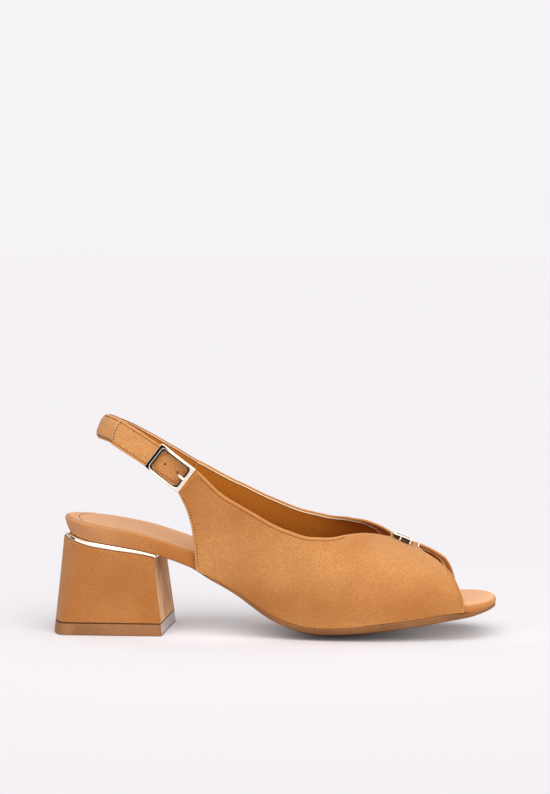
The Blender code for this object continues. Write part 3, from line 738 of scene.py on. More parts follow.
bandTable = {                              # the bands' middle lines
    "sling": asTable("x y z", [
        (66.3, 31.2, 82.5), (53.2, 30.2, 89.6), (40.1, 29.2, 97.1), (30.0, 26.0, 102.8), (23.0, 18.0, 106.6),
        (20.4, 8.0, 108.9), (20.6, -6.0, 109.9), (24.2, -17.5, 110.0), (30.2, -24.6, 108.5),
        (37.6, -26.9, 104.7), (46.0, -27.6, 99.6),
    ]),
    "strap": asTable("x y z", [
        (32.5, -27.5, 107.8), (37.8, -29.0, 104.7), (48.0, -29.7, 98.4), (56.0, -29.7, 93.1),
        (62.0, -29.2, 89.2), (68.0, -28.5, 85.1), (74.0, -28.1, 80.7), (80.0, -27.8, 76.4),
    ]),
}
bands = {
    "width": 13.7, "lean": 23.5, "stitchInset": 1.35, "groove": 0.24, "grooveWidth": 0.42, "faceSteps": 81,
    "sling": {
        "thick": 2.3, "steps": 240, "square": 3.0, "closer": 1.0, "lap": 9.0, "lapSteps": 20, "lapOut": 2.0,
        "outBlend": (-1.0, 12.0), "lapDrop": (0.9, 1.6), "dropBlend": (0.0, 14.0), "crown": 1.9,
        "crownEnd": (24.0, 42.0), "rim": 0.6,
    },
    "strap": {
        "thick": 1.7, "steps": 150, "square": 7.0, "closer": 1.5, "endX": 72.0, "bulge": 1.7, "skew": 1.3,
        "rawEdge": 1.0, "rawDrop": 1.35, "rawShare": 0.75,
    },
}


def bandPath(name):
    # middle line of a band, with the directions along it, across it and out of the shoe
    look, rows = bands[name], bandTable[name]
    run = runAlong(np.column_stack([rows[key] for key in "xyz"]))
    end = np.interp(look["endX"], rows["x"], run) if name == "strap" else run[-1]
    at = end * np.linspace(0, 1, look["steps"] + 1) ** look["closer"]
    middle = np.column_stack([smooth(run, rows[key], at) for key in "xyz"])
    tangent = unit(np.gradient(middle, at, axis=0))
    lean = math.radians(bands["lean"])
    top = np.array([math.sin(lean), 0, math.cos(lean)])
    if name == "sling":                    # lapped on the outside of the inner quarter
        lap = np.linspace(-look["lap"], 0, look["lapSteps"])[:-1, None]
        middle = np.concatenate([middle[0] + tangent[0] * lap, middle])
        tangent = np.concatenate([np.repeat(tangent[:1], len(lap), axis=0), tangent])
    across = unit(top - tangent * (tangent @ top)[:, None])
    out = np.cross(tangent, across)
    if name == "sling":
        since = runAlong(middle) - look["lap"]
        middle = middle + out * (look["lapOut"] * (1 - ease(since, *look["outBlend"])))[:, None]
        first, second = look["lapDrop"]
        drop = first * (1 - ease(since, *look["dropBlend"])) + second * (1 - ease(since, -look["lap"], 0.0))
        middle = middle - across * drop[:, None]
    return middle, tangent, across, out


def bandProfile(thick, square):
    # a squared ellipse lying flat, with a sewn groove beside each edge of its outer face
    half = bands["width"] / 2
    a = half * np.sin(np.linspace(-math.pi / 2, math.pi / 2, bands["faceSteps"]))
    swell = (1 - np.abs(a / half) ** square) ** (1 / square)
    groove = bands["groove"] * bell(np.abs(a) - half + bands["stitchInset"], bands["grooveWidth"])
    face = thick / 2 * (swell - 1) - groove
    back = -thick / 2 * (1 + swell)
    return np.column_stack([np.concatenate([a, a[-2:0:-1]]), np.concatenate([face, back[-2:0:-1]])])


def strapEnd(across):
    # how far the strap's rear end stands back from square: rounded, and further back at its top
    half = bands["width"] / 2
    return bands["strap"]["bulge"] * (1 - (across / half) ** 2) + bands["strap"]["skew"] * across / half


def slingCrown(middle, across):
    # the sling is cupped behind the heel: its edges fall back by the fourth power of the way across
    look = bands["sling"]
    behind = 1 - ease(middle[:, 0], *look["crownEnd"])
    return look["crown"] * behind[:, None] * np.abs(across / (bands["width"] / 2)) ** 4


def makeSling():
    look = bands["sling"]
    middle, _, across, out = bandPath("sling")
    profile = bandProfile(look["thick"], look["square"])
    points, faces = sweep(middle, across, out, profile)
    fall = slingCrown(middle, profile[None, :, 0])
    points = points - (out[:, None] * fall[..., None]).reshape(-1, 3)
    count = len(profile)
    lined = np.arange(len(faces)) % count >= count // 2
    lined[-2:] = False
    past = np.full(count, -1.0)
    past[count // 2:] = bands["width"] / 2 - np.abs(profile[count // 2:, 0]) - look["rim"]
    addPiece("slingBand", points, faces, [bandSuede, lining], "upper", None, lined.astype(int),
             {"past": np.tile(past, len(middle))})


def makeStrap():
    look = bands["strap"]
    middle, tangent, across, out = bandPath("strap")
    profile = bandProfile(look["thick"], look["square"])
    points, faces = sweep(middle, across, out, profile)
    count = len(profile)
    points = points.reshape(len(middle), count, 3)
    run = runAlong(middle)
    share = (1 - run / run[-1])[:, None] ** 3
    points = points - tangent[:, None] * (share * strapEnd(profile[:, 0])[None])[..., None]
    # the raw end: its face slopes down to the sling under it
    fall = look["rawDrop"] * np.clip(1 - run / look["rawEdge"], 0, 1) ** 1.5
    face = np.arange(count) <= count // 2
    points = points - out[:, None] * (fall[:, None] * face[None])[..., None]
    finish = np.append(np.repeat(run[:-1] < look["rawShare"] * look["rawEdge"], count), [True, False])
    addPiece("buckleStrap", points.reshape(-1, 3), faces, [bandSuede, cutEdge], "buckle_strap",
             "buckle_strap", finish.astype(int))


makeSling()
makeStrap()


# Buckle: flat polished frame with a stepped opening, and its prong

buckle = {
    "size": (22.6, 15.4), "opening": (15.6, 11.2), "rounds": (1.0, 2.4), "thick": 1.8, "bow": 1.0,
    "centre": (62.0, -32.6, 89.2), "turn": (84.0, 37.0, -5.0), "prongRadius": 0.75,
    "prongRoute": [(10.2, 2.0), (8.2, 2.05), (6.9, 1.5), (5.9, 0.55), (5.3, -0.2)],
    "holes": (-3.4, 4.9), "holeRadius": 0.62, "strapSlope": 0.8,   # a step along the strap is less in X
}
# rows of the frame's section: share of the way from the outside to the opening,
# and height as a share of half the thickness
frameRows = [
    (0.0, -1.0), (0.0, 0.62), (0.03, 0.86), (0.07, 0.97), (0.11, 1.0), (0.14, 1.0), (0.49, 1.0), (0.52, 1.0),
    (0.56, 0.94), (0.59, 0.78), (0.63, 0.42), (0.83, 0.40), (0.87, 0.52), (0.95, 0.46), (0.985, 0.30),
    (1.0, 0.0), (1.0, -1.0),
]
shadedGrooveRows = (8, 9, 10, 11)                # the rows that start the groove round the opening, painted dark as its shade
lipRows = (12, 13, 14, 15)                 # and the lip inside it, brown as a painted reflection of the strap


def rectangleLoop(size, radius, arcSteps=9, sideSteps=8):
    # a rectangle with round corners, the same count of points in every loop
    a, b = size[0] / 2 - radius, size[1] / 2 - radius
    turn = np.linspace(0, math.pi / 2, arcSteps)
    arc = radius * np.column_stack([np.cos(turn), np.sin(turn)])
    corners = []
    for k, (sx, sy) in enumerate([(1, 1), (-1, 1), (-1, -1), (1, -1)]):
        c, s = round(math.cos(k * math.pi / 2)), round(math.sin(k * math.pi / 2))
        corners.append(arc @ np.array([[c, s], [-s, c]]) + (sx * a, sy * b))
    step = np.linspace(0, 1, sideSteps + 2)[1:-1, None]
    loop = []
    for here, following in zip(corners, corners[1:] + corners[:1]):
        loop += [here, here[-1] * (1 - step) + following[0] * step]
    return np.concatenate(loop)


def frameMesh(look, rows):
    # loops between the outside and the opening at the section's heights, joined into a ring
    outside, inside = (rectangleLoop(look[key], k) for key, k in zip(("size", "opening"), look["rounds"]))
    share, level = np.array(rows).T[:, :, None]
    flat = outside[None] * (1 - share[..., None]) + inside[None] * share[..., None]
    height = level * look["thick"] / 2 - look["bow"] * (2 * flat[..., 0] / look["size"][0]) ** 2
    points = np.concatenate([flat, height[..., None]], axis=-1)
    index = gridIndex(points)
    index = np.concatenate([index, index[:1]])
    return points.reshape(-1, 3), gridQuads(closedRound(index))[:, ::-1]


def placed(points, look):
    return np.asarray(points) @ turned(*look["turn"]).T + np.array(look["centre"])


def tubeMesh(route, radius, steps=80, around=20):
    # a round wire along a smooth route, with domed ends
    route = np.array(route, float)
    run = runAlong(route)
    at = np.linspace(0, run[-1], steps)
    middle = np.column_stack([smooth(run, route[:, k], at) for k in range(3)])
    tangent = unit(np.gradient(middle, axis=0))
    side = np.array([0.0, 1.0, 0.0]) if abs(tangent[0, 1]) < 0.9 else np.array([1.0, 0.0, 0.0])
    side = unit(side - tangent * (tangent @ side)[:, None])
    out = np.cross(tangent, side)
    close = np.minimum(at, run[-1] - at)
    size = radius * np.sqrt(np.clip(1 - np.clip(1 - close / radius, 0, 1) ** 2, 0.02, 1))
    turn = np.linspace(0, 2 * math.pi, around, endpoint=False)[None, :, None]
    ringed = side[:, None] * np.cos(turn) + out[:, None] * np.sin(turn)
    points = middle[:, None] + ringed * size[:, None, None]
    return points.reshape(-1, 3), cappedFaces(gridIndex(points)[:, ::-1])


def makeBuckle():
    points, faces = frameMesh(buckle, frameRows)
    row = np.arange(len(faces)) // (len(points) // len(frameRows))
    finish = np.isin(row, shadedGrooveRows) + 2 * np.isin(row, lipRows)
    addPiece("buckleFrame", placed(points, buckle), faces, [gold, goldShade, goldLip], "buckle_frame",
             "buckle_frame", finish, sharp=28)
    points, faces = tubeMesh([(along, 0, out) for along, out in buckle["prongRoute"]], buckle["prongRadius"])
    addPiece("buckleProng", placed(points, buckle), faces, [gold], "buckle_prong", "buckle_prong")


makeBuckle()


# Slide and bar on the vamp

vampTrim = {
    "centre": (182.4, 0.0, 51.3), "size": (11.2, 14.4), "opening": (7.4, 10.8), "rounds": (1.6, 0.8),
    "thick": 0.55, "turn": (-4.0, 20.5, 0.0), "bow": 0.4,
    "posts": [(-1.1, -6.3), (4.6, -6.3), (-1.1, 6.3), (4.6, 6.3)], "postLength": 2.9, "postRadius": 0.45,
    "postSteps": 12, "slideShadow": (9.6, 11.6), "slideShadowCorner": 1.2, "slideShadowRound": 0.5, "slideShadowTop": -0.35,
    "slideShadowDeep": 3.4, "slideShadowShift": 0.6,
    "barX": 190.4, "barHalf": 5.4, "barRadius": 0.37, "barSteps": 12, "barSettle": 0.6,
}
clipRows = [
    (0.0, -1.0), (0.0, 0.5), (0.08, 0.8), (0.25, 1.0), (0.75, 1.0), (0.92, 0.8), (1.0, 0.5), (1.0, -1.0),
]


def vampHeight(x, y):
    # height of the upper's outside at (x, y), near the ridge
    lean = readRow(lastTable, "lean", x)
    height = 0
    for side in (lateral, medial):
        reach = np.clip((y - lean) / (side * featherEdge(x, side) - lean), 0, 1)
        girth = np.arccos(reach ** (1 / shoe["sectionPower"])) * 2 / math.pi
        height = height + lastPoint(x, girth, side)[..., 2] * ((y - lean) * side > 0)
    return height


def joinMeshes(parts):
    # several (points, faces) as one
    points, faces, count = [], [], 0
    for some, quads in parts:
        points.append(np.asarray(some))
        faces += [[corner + count for corner in face] for face in quads]
        count += len(some)
    return np.concatenate(points), faces


def makeClip():
    parts = [frameMesh(vampTrim, clipRows)]
    steps = vampTrim["postSteps"]
    for x, y in vampTrim["posts"]:
        top = -vampTrim["bow"] * (2 * x / vampTrim["size"][0]) ** 2
        route = [(x, y, top), (x, y, top - vampTrim["postLength"])]
        parts.append(tubeMesh(route, vampTrim["postRadius"], steps, steps))
    points, faces = joinMeshes(parts)
    addPiece("vampClip", placed(points, vampTrim), faces, [gold], "vamp_clip", "vamp_clip", sharp=28)


def makeSlideShadow():
    # a dark block of painted shade in the gap under the slide: round-cornered rings from its top edge down
    size, soft = np.array(vampTrim["slideShadow"]), vampTrim["slideShadowRound"]
    rings = [(2 * inset, vampTrim["slideShadowTop"] - drop) for inset, drop in quarterRound(soft, soft, 4)]
    rings.append((0.0, vampTrim["slideShadowTop"] - vampTrim["slideShadowDeep"]))
    loops = []
    for less, level in rings:
        loop = rectangleLoop(size - less, vampTrim["slideShadowCorner"]) + (vampTrim["slideShadowShift"], 0)
        loops.append(np.column_stack([loop, np.full(len(loop), level)]))
    loops = np.array(loops)
    points = placed(loops.reshape(-1, 3), vampTrim)
    addPiece("vampSlideShadow", points, cappedFaces(gridIndex(loops)), [paintedSlideShadow], "upper")


def makeBar():
    y = np.linspace(-vampTrim["barHalf"], vampTrim["barHalf"], vampTrim["barSteps"])
    x = np.full_like(y, vampTrim["barX"])
    under = vampHeight(x, y)
    arc = np.polyval(np.polyfit(y, under, 2), y)       # one smooth arc over the bridge's step
    height = arc + vampTrim["barSettle"] * (under - arc).max() + vampTrim["barRadius"]
    points, faces = tubeMesh(np.column_stack([x, y, height]), vampTrim["barRadius"])
    addPiece("vampBar", points, faces, [gold], "vamp_bar", "vamp_bar")


makeClip()
makeSlideShadow()
makeBar()


# Footbed, sock and outsole

bed = {
    "stations": 190, "edge": (2.2, 1.9), "toeEdge": (5.2, 3.0), "toeBlend": (196, 212),
    "rollShares": (0.985, 0.85, 0.7, 0.55, 0.42, 0.3, 0.2, 0.12, 0.06, 0.02, 0.0), "rollCover": 0.95,
    "sideShares": (0.2, 0.4, 0.6, 0.8), "sideSwell": 0.25, "lowRound": (0.8, 1.0),
    "rearTaper": 1.7, "taperEnd": (12, 60),
    # paleToe and paleRim set painted light on the toe's top and the rim, brightToe a painted highlight on the
    # toe
    "paleToe": (194, 210), "paleRim": 0.5, "paleRear": 0.5, "brightToe": 0.42,
    "recess": 0.35, "recessEnd": (184, 196), "leastRecess": 0.02,
    "underSock": (2.5, 0.3, 0.04),         # how far the wrap's rings run on under the sock
    "sockInset": 1.1, "sockRings": (14, 10, 7, 5, 3.8, 3.0, 2.4, 1.9, 1.5), "sockLift": 0.03,
    "sockEdge": [(0.28, -0.02, 0), (0.15, 0.02, 1)],   # past the wrap's inset, lift, share of the recess
    "welt": 0.5, "waistInset": 6.0, "waistBlend": (70, 84), "toeInset": 0.3, "soleToeBlend": (208, 222),
    "soleTail": 59.0, "soleEdge": 0.45, "soleShadeEnd": 207.0, "close": 0.16, "toeClose": 0.5, "toeDrop": 1.2,
    "toeShare": 0.5, "soleTop": [(0.25, 0.0), (0.1, 0.1), (0.0, 0.25)], "treadRings": 12, "treadLeast": 0.1,
}


def soleRing(x, grow, height):
    # outline of the footbed, grown outwards, at a height that follows the arch
    start, end = shoe["seatStart"], shoe["seatStart"] + shoe["length"]
    ends = roundEnd(x - start + shoe["tip"], shoe["seatRound"], 2.0)
    ends = ends * roundEnd(end - x + shoe["tip"], shoe["toeRound"], shoe["toePower"])
    outer, inner = (np.maximum(halfWidth(x, side) * ends + grow, shoe["least"]) for side in (lateral, medial))
    middle = (start + end) / 2
    x = middle + (x - middle) * (1 + 2 * grow / shoe["length"])
    return outlineRing(x, outer, inner, height(x))


def bedDrop(x, inset):
    # how far the rounded top edge has fallen at an inset from the outline: softer at the toe
    soft = ease(x, *bed["toeBlend"])
    wide, deep = (rear + (toe - rear) * soft for rear, toe in zip(bed["edge"], bed["toeEdge"]))
    return deep * (1 - np.sqrt(1 - np.clip(1 - inset / wide, 0, 1) ** 2))


def wrapLow(x):
    # the wrap's lower edge, which hides part of the outsole's side at the toe
    sole = readRow(soleTable, "sole", x)
    return underside(x) - np.minimum(bed["toeDrop"], bed["toeShare"] * sole) * ease(x, *bed["soleToeBlend"])


def bedTopRing(x, inset, lift=0.0, sunk=0.0):
    # a ring on the rounded top, lifted off it or sunk by a share of the sock's recess
    def height(at):
        recess = bed["recess"] * (1 - ease(at, *bed["recessEnd"])) + bed["leastRecess"]
        return boardTop(at) - bedDrop(at, inset) + lift - sunk * recess
    return soleRing(x, -inset, height)


def makeFootbed():
    x = spread(shoe["seatStart"], shoe["seatStart"] + shoe["length"], bed["stations"])
    inset = bed["sockInset"]
    rings = [bedTopRing(x, inset + more, sunk=1) for more in bed["underSock"]]
    covered = [0.0] * len(rings)           # 0 on top, 1 on the side: the top has the sock's paler tone
    rings += [bedTopRing(x, inset * share) for share in bed["rollShares"]]
    covered += [bed["rollCover"] * (1 - share) for share in bed["rollShares"]]
    taper = bed["rearTaper"] * (1 - ease(x, *bed["taperEnd"]))
    lowRound = quarterRound(*bed["lowRound"], 5)[::-1]
    for share in bed["sideShares"]:
        grow = bed["sideSwell"] * math.sin(math.pi * share) - taper * share
        rings.append(soleRing(x, grow, lambda at: (
            (boardTop(at) - bedDrop(at, 0.0)) * (1 - share) + (wrapLow(at) + bed["lowRound"][1]) * share)))
    rings += [soleRing(x, -e - taper, lambda at: wrapLow(at) + drop) for e, drop in lowRound]
    covered += [1.0] * (len(rings) - len(covered))
    points, faces = stackRings(rings)
    # painted light: the rim and the toe's top take the sock's paler tone and the toe's top a painted
    # highlight; the side is paler at the rear
    toe = ease(points[:, 0], *bed["paleToe"])
    covered = np.repeat(covered, len(rings[0]))
    pale = (bed["paleRim"] + (1 - bed["paleRim"]) * toe) * (1 - covered)
    pale += bed["paleRear"] * covered * (1 - ease(points[:, 0], *bed["taperEnd"]))
    addPiece("footbedWrap", points, faces, [sock], "footbed", "footbed",
             values={"toe": 1 - pale, "edge": bed["brightToe"] * (1 - covered) ** 2 * toe})

    rings = [bedTopRing(x, e, bed["sockLift"]) for e in bed["sockRings"]]
    rings += [bedTopRing(x, inset + more, lift, sunk) for more, lift, sunk in bed["sockEdge"]]
    points, faces = stackRings(rings)
    edge = np.arange(len(faces)) // len(rings[0]) == len(rings) - 2
    edge &= points[np.asarray(faces)].mean(1)[:, 0] < bed["recessEnd"][0]
    # painted highlight on the sock at the toe
    bright = bed["brightToe"] * ease(points[:, 0], *bed["paleToe"])
    addPiece("insoleSock", points, faces, [sock, sockSeam], "insole", "insole", edge.astype(int),
             {"toe": np.zeros(len(points)), "edge": bright})


def makeOutsole():
    # the tread's middle hangs below its edge and is flattened where it meets the floor
    end = shoe["seatStart"] + shoe["length"]
    x = spread(bed["soleTail"], end, bed["stations"])
    waist, bare = ease(x, *bed["waistBlend"]), ease(x, *bed["soleToeBlend"])
    edge = underside(x) - shoe["gap"] - readRow(soleTable, "sole", x)
    # it closes on what it carries, and at the toe on the wrap's rounded edge
    high = wrapLow(x) - shoe["gap"] + bed["close"] + (bed["toeClose"] - bed["close"]) * bare
    crown = readRow(soleTable, "crown", x)
    cover = shoe["featherGap"] + shoe["wall"] + bed["welt"]
    grow = -bed["waistInset"] * (1 - waist) + cover * waist * (1 - bare) - bed["toeInset"] * bare
    ends = roundEnd(end - x + shoe["tip"], shoe["toeRound"], shoe["toePower"])

    def outline(inset, height, share=1.0):
        outer, inner = (np.maximum(halfWidth(x, side) * ends + grow - inset, shoe["least"]) * share
                        for side in (lateral, medial))
        return outlineRing(x, outer, inner, height)
    rings = [outline(inset, high - drop) for inset, drop in bed["soleTop"]]
    upper, lower = high - bed["soleTop"][-1][1], edge + bed["soleEdge"]
    rings += [outline(0, upper * (1 - share) + lower * share) for share in (0.3, 0.65)]
    for inset, drop in quarterRound(bed["soleEdge"], bed["soleEdge"], 5)[::-1]:
        rings.append(outline(inset, np.maximum(edge + drop, 0)))
    side = len(rings) - 1
    for share in np.linspace(1, bed["treadLeast"], bed["treadRings"])[1:]:
        rings.append(outline(bed["soleEdge"], np.maximum(edge - crown * (1 - share**2), 0), share))
    points, faces = stackRings(rings)
    count = len(rings[0])
    finish = np.zeros(len(faces), int)
    finish[: side * count] = 1
    # painted shade: the top row is dark with the gap's shade under the upper, except at the toe
    finish[:count][points[np.asarray(faces[:count])].mean(1)[:, 0] < bed["soleShadeEnd"]] = 2
    addPiece("outsoleRubber", points, faces, [treadRubber, rubberBand, rubberGapShade], "outsole", "outsole",
             finish)


makeFootbed()
makeOutsole()


# Heel: covered block, gold plate and lift

heel = {
    # front, back, half width and rounded length
    "top": (52.2, 1.4, 25.5, 20.0), "floor": (57.0, -3.4, 28.6, 9.0),
    "power": 2.1, "corner": 1.1, "sideSteps": 70, "sideCrowd": 1.7, "cornerSteps": 7, "breastSteps": 40,
    "plateThick": 1.6, "plateInset": 1.0, "plateSwell": 0.75, "plateLean": 0.2, "plateRound": 0.3,
    "plateAhead": 2.6, "plateRings": 17, "blockRings": 44, "topEdge": 0.8, "shadeBand": 0.012, "wrinkle": 0.10,
    "waves": [(1.0, 1.9, 0.06, 0.0), (0.7, 3.7, 0.0, 1.0)],   # strength, turn by Y and by Z, start
    "liftHeight": 6.2, "liftTop": 0.25, "liftEdge": (0.7, 0.6), "liftLine": 0.9,
}
breastStart = heel["sideSteps"] + heel["cornerSteps"] - 1          # the outline's first point on the breast


def heelRow(share, inset=0.0):
    front, back, half, length = np.array(heel["floor"]) * (1 - share) + np.array(heel["top"]) * share
    return front - inset, back + inset, half - inset, length


def heelOutline(row, height):
    # a U in plan: round back, straight sides, a small round corner and the flat breast
    front, back, half, length = row
    corner = heel["corner"]
    x = back + (front - corner - back) * np.linspace(0, 1, heel["sideSteps"]) ** heel["sideCrowd"]
    width = half * roundEnd(x - back + shoe["tip"], length, heel["power"])
    turn = np.linspace(0, math.pi / 2, heel["cornerSteps"])[1:]
    across = np.linspace(half - corner, shoe["least"], heel["breastSteps"])[1:]
    x = np.concatenate([x, front - corner + corner * np.sin(turn), np.full(len(across), front)])
    width = np.concatenate([width, half - corner + corner * np.cos(turn), across])
    return outlineRing(x, width, width, height(x) if callable(height) else height)


def plateLow(x):
    # underside of the plate, which is fullest halfway along
    front, back = heel["top"][:2]
    swell = heel["plateSwell"] * np.sin(math.pi * np.clip((x - back) / (front - back), 0, 1))
    return underside(x) - shoe["gap"] - heel["plateThick"] - swell


def breastFaces(faces, rings, corner):
    # each face's row, and 1 where it lies on the breast or on the last steps of its corner
    row, column = np.divmod(np.arange(len(faces)), len(rings[0]))
    start = breastStart - corner
    onBreast = (column >= start) & (column < len(rings[0]) - 1 - start) & (row < len(rings) - 1)
    return row, onBreast.astype(int)


def makePlate():
    front, back, half, length = heelRow(1, heel["plateInset"])
    rings = []
    for share in np.linspace(0, 1, heel["plateRings"]):    # leaning back to its top, with rounded edges
        inset = heel["plateLean"] * (1 - share) + heel["plateRound"] * abs(2 * share - 1) ** 6
        row = (front + heel["plateAhead"] - inset, back + inset, half - inset, length)
        rings.append(heelOutline(row, lambda x: (
            (underside(x) - shoe["gap"]) * (1 - share) + plateLow(x) * share)))
    addPiece("heelPlate", *stackRings(rings), [gold], "heel_plate", "heel_plate")


def makeBlock(liftShare):
    foot = heel["liftHeight"] + shoe["gap"]
    rings = [heelOutline(heelRow(1, inset), lambda x: plateLow(x) - shoe["gap"] - drop)
             for inset, drop in quarterRound(heel["topEdge"], heel["topEdge"], 5)]
    for share in (*np.linspace(1, 0, heel["blockRings"])[1:-1], heel["shadeBand"], 0.0):
        row = heelRow(liftShare + (1 - liftShare) * share)
        rings.append(heelOutline(row, lambda x: (
            foot + (plateLow(x) - shoe["gap"] - heel["topEdge"] - foot) * share)))
    rings = np.array(rings)
    # sine waves across the breast draw its cover into upright wrinkles
    breast = np.zeros(rings.shape[1])
    breast[breastStart + 1:-breastStart - 1] = 1
    y, z = rings[..., 1], rings[..., 2]
    streak = sum(strength * np.sin(y * byY + z * byZ + start) for strength, byY, byZ, start in heel["waves"])
    rings[..., 0] -= heel["wrinkle"] * breast * (1 + streak)
    points, faces = stackRings(rings)
    row, finish = breastFaces(faces, rings, 1)
    finish[row == len(rings) - 2] = 2      # painted shade: the last row, where the cover turns in over the lift, is dark with the gap's shade
    addPiece("heelBlock", points, faces, [cover, breastSuede, paintedCreviceShade], "heel_block", "heel_block", finish)


def makeLift(liftShare):
    top = quarterRound(heel["liftTop"], heel["liftTop"], 4)
    rings = [heelOutline(heelRow(liftShare, inset), heel["liftHeight"] - drop) for inset, drop in top]
    rings.append(heelOutline(heelRow(heel["liftLine"] / shoe["heelHeight"]), heel["liftLine"]))
    rings += [heelOutline(heelRow(heel["liftEdge"][1] / shoe["heelHeight"], inset), drop)
              for inset, drop in quarterRound(*heel["liftEdge"], 5)[::-1]]
    points, faces = stackRings(rings)
    row, finish = breastFaces(faces, rings, 2)
    finish[(finish == 1) & (row >= len(top))] = 2      # painted shade: the breast is dark along the floor
    addPiece("topLift", points, faces, [rubber, liftFace, paintedCreviceShade], "top_lift", "top_lift", finish)


makePlate()
liftShare = (heel["liftHeight"] + shoe["gap"]) / shoe["heelHeight"]
makeBlock(liftShare)
makeLift(liftShare)


# Stitching and punched holes

sewing = {
    "petal": {"pitch": 1.6, "length": 1.0, "radius": 0.15, "hole": 0.34, "thread": paleThread},
    "topline": {"pitch": 1.7, "length": 1.45, "radius": 0.17, "hole": 0.18, "thread": thread},
    "band": {"pitch": 1.9, "length": 1.5, "radius": 0.17, "hole": 0.2, "thread": thread},
    "sock": {"pitch": 2.4, "length": 1.2, "radius": 0.24, "hole": 0.2, "thread": sockSeam},
    "rearInset": 1.6, "rearSpan": (0.03, 0.63), "frontInset": 1.2, "frontSpan": (0.01, 0.60),
    "toplineSpan": (0.02, 0.66), "bandSink": 0.02, "endInset": 1.7, "endLift": 0.03, "seatLift": 0.07,
    "seatArc": (9.2, 5.5, 20.5),           # nearest X, how far its ends lie ahead, half width
}


def alongLine(line, normals, pitch, shift=0.0, aside=0.3):
    # places at an even pitch along a line, with the directions along it, beside it and out of the surface
    run = runAlong(line)
    count = int(run[-1] // pitch)
    at = (run[-1] - count * pitch) / 2 + pitch * (np.arange(count) + 0.5 + shift)

    def atRun(values, where):
        return np.column_stack([np.interp(where, run, values[:, k]) for k in range(3)])
    along = unit(atRun(line, at + aside) - atRun(line, at - aside))
    out = unit(atRun(normals, at))
    return atRun(line, at), along, np.cross(out, along), out


def manyOf(centre, along, side, out, local):
    # one small closed form, given as rings of (along, side, out), repeated at every place
    rings, around = local.shape[:2]
    axes = np.stack([along, side, out], axis=1)
    points = centre[:, None] + local.reshape(1, -1, 3) @ axes
    index = np.arange(rings * around).reshape(rings, around)
    step = (np.arange(len(centre)) * rings * around)[:, None]
    faces = (gridQuads(closedRound(index))[:, ::-1].reshape(1, -1) + step).reshape(-1, 4).tolist()
    faces += (step + index[0, ::-1]).tolist() + (step + index[-1]).tolist()
    return points.reshape(-1, 3), faces


def threadForm(length, radius, rings=7, around=8):
    # a rounded capsule, sunk by half of its radius at the ends
    s, turn = np.linspace(-1, 1, rings), np.linspace(0, 2 * math.pi, around, endpoint=False)
    swell = np.sqrt(np.maximum(1 - s**4, 0.03))[:, None]
    lengthways = np.broadcast_to(s[:, None] * length / 2, (rings, around))
    height = radius * (swell * np.sin(turn) + 0.6 * (swell - 1))
    return np.stack([lengthways, radius * swell * np.cos(turn), height], axis=-1)


def holeForm(radius, around=12):
    # a low dome, dark with the hole's painted shade: rows of (height, share of the radius) from below the
    # surface up to the middle
    rise, size = np.array([(-0.2, 1.0), (0.02, 0.95), (0.04, 0.6), (0.045, 0.04)]).T[:, :, None]
    turn = np.linspace(0, 2 * math.pi, around, endpoint=False)
    height = np.broadcast_to(rise, (len(rise), around))
    return np.stack([size * radius * np.cos(turn), size * radius * np.sin(turn), height], axis=-1)


def stitchRow(name, line, normals, slotName, look):
    places = alongLine(line, normals, look["pitch"])
    addPiece(name, *manyOf(*places, threadForm(look["length"], look["radius"])), [look["thread"]], slotName)
    places = alongLine(line, normals, look["pitch"], 0.5)
    addPiece(name + "Holes", *manyOf(*places, holeForm(look["hole"])), [holeDark], slotName)


def petalLine(side, u, v, step=1e-3):
    # a line on the petal's outside, with its normals
    def at(moreU, moreV):
        return petalPoint(petalShapes[side], side, np.clip(u + moreU, 0, 1), np.clip(v + moreV, 0, 1))
    du, dv = at(step, 0) - at(-step, 0), at(0, step) - at(0, -step)
    return at(0, 0), unit(np.cross(du, dv) * -side)


def toplineShare(side, u, inset):
    # v at a true distance below the topline's rim, found on a fine grid of shares
    v = np.linspace(1 - petals["edgeRound"] / petals["upLength"], 0.8, 240)
    points = petalPoint(petalShapes[side], side, *np.meshgrid(u, v, indexing="ij"))
    run = np.cumsum(np.linalg.norm(np.diff(points, axis=1), axis=2), axis=1)
    return v[1 + np.argmin(np.abs(run - inset), axis=1)]


def makePetalStitches():
    length = petals["alongLength"]
    for side, word in ((lateral, "Outer"), (medial, "Inner")):
        for edge, at in (("rear", sewing["rearInset"]), ("front", length - sewing["frontInset"])):
            v = np.linspace(*sewing[edge + "Span"], 200)
            line, normals = petalLine(side, np.full_like(v, at / length), v)
            stitchRow(edge + "Stitch" + word, line, normals, "upper", sewing["petal"])
        u = np.linspace(*sewing["toplineSpan"], 400)
        line, normals = petalLine(side, u, toplineShare(side, u, petals["seamAt"]))
        line = line - normals * petals["seamDepth"]
        stitchRow("topStitch" + word, line, normals, "upper", sewing["topline"])


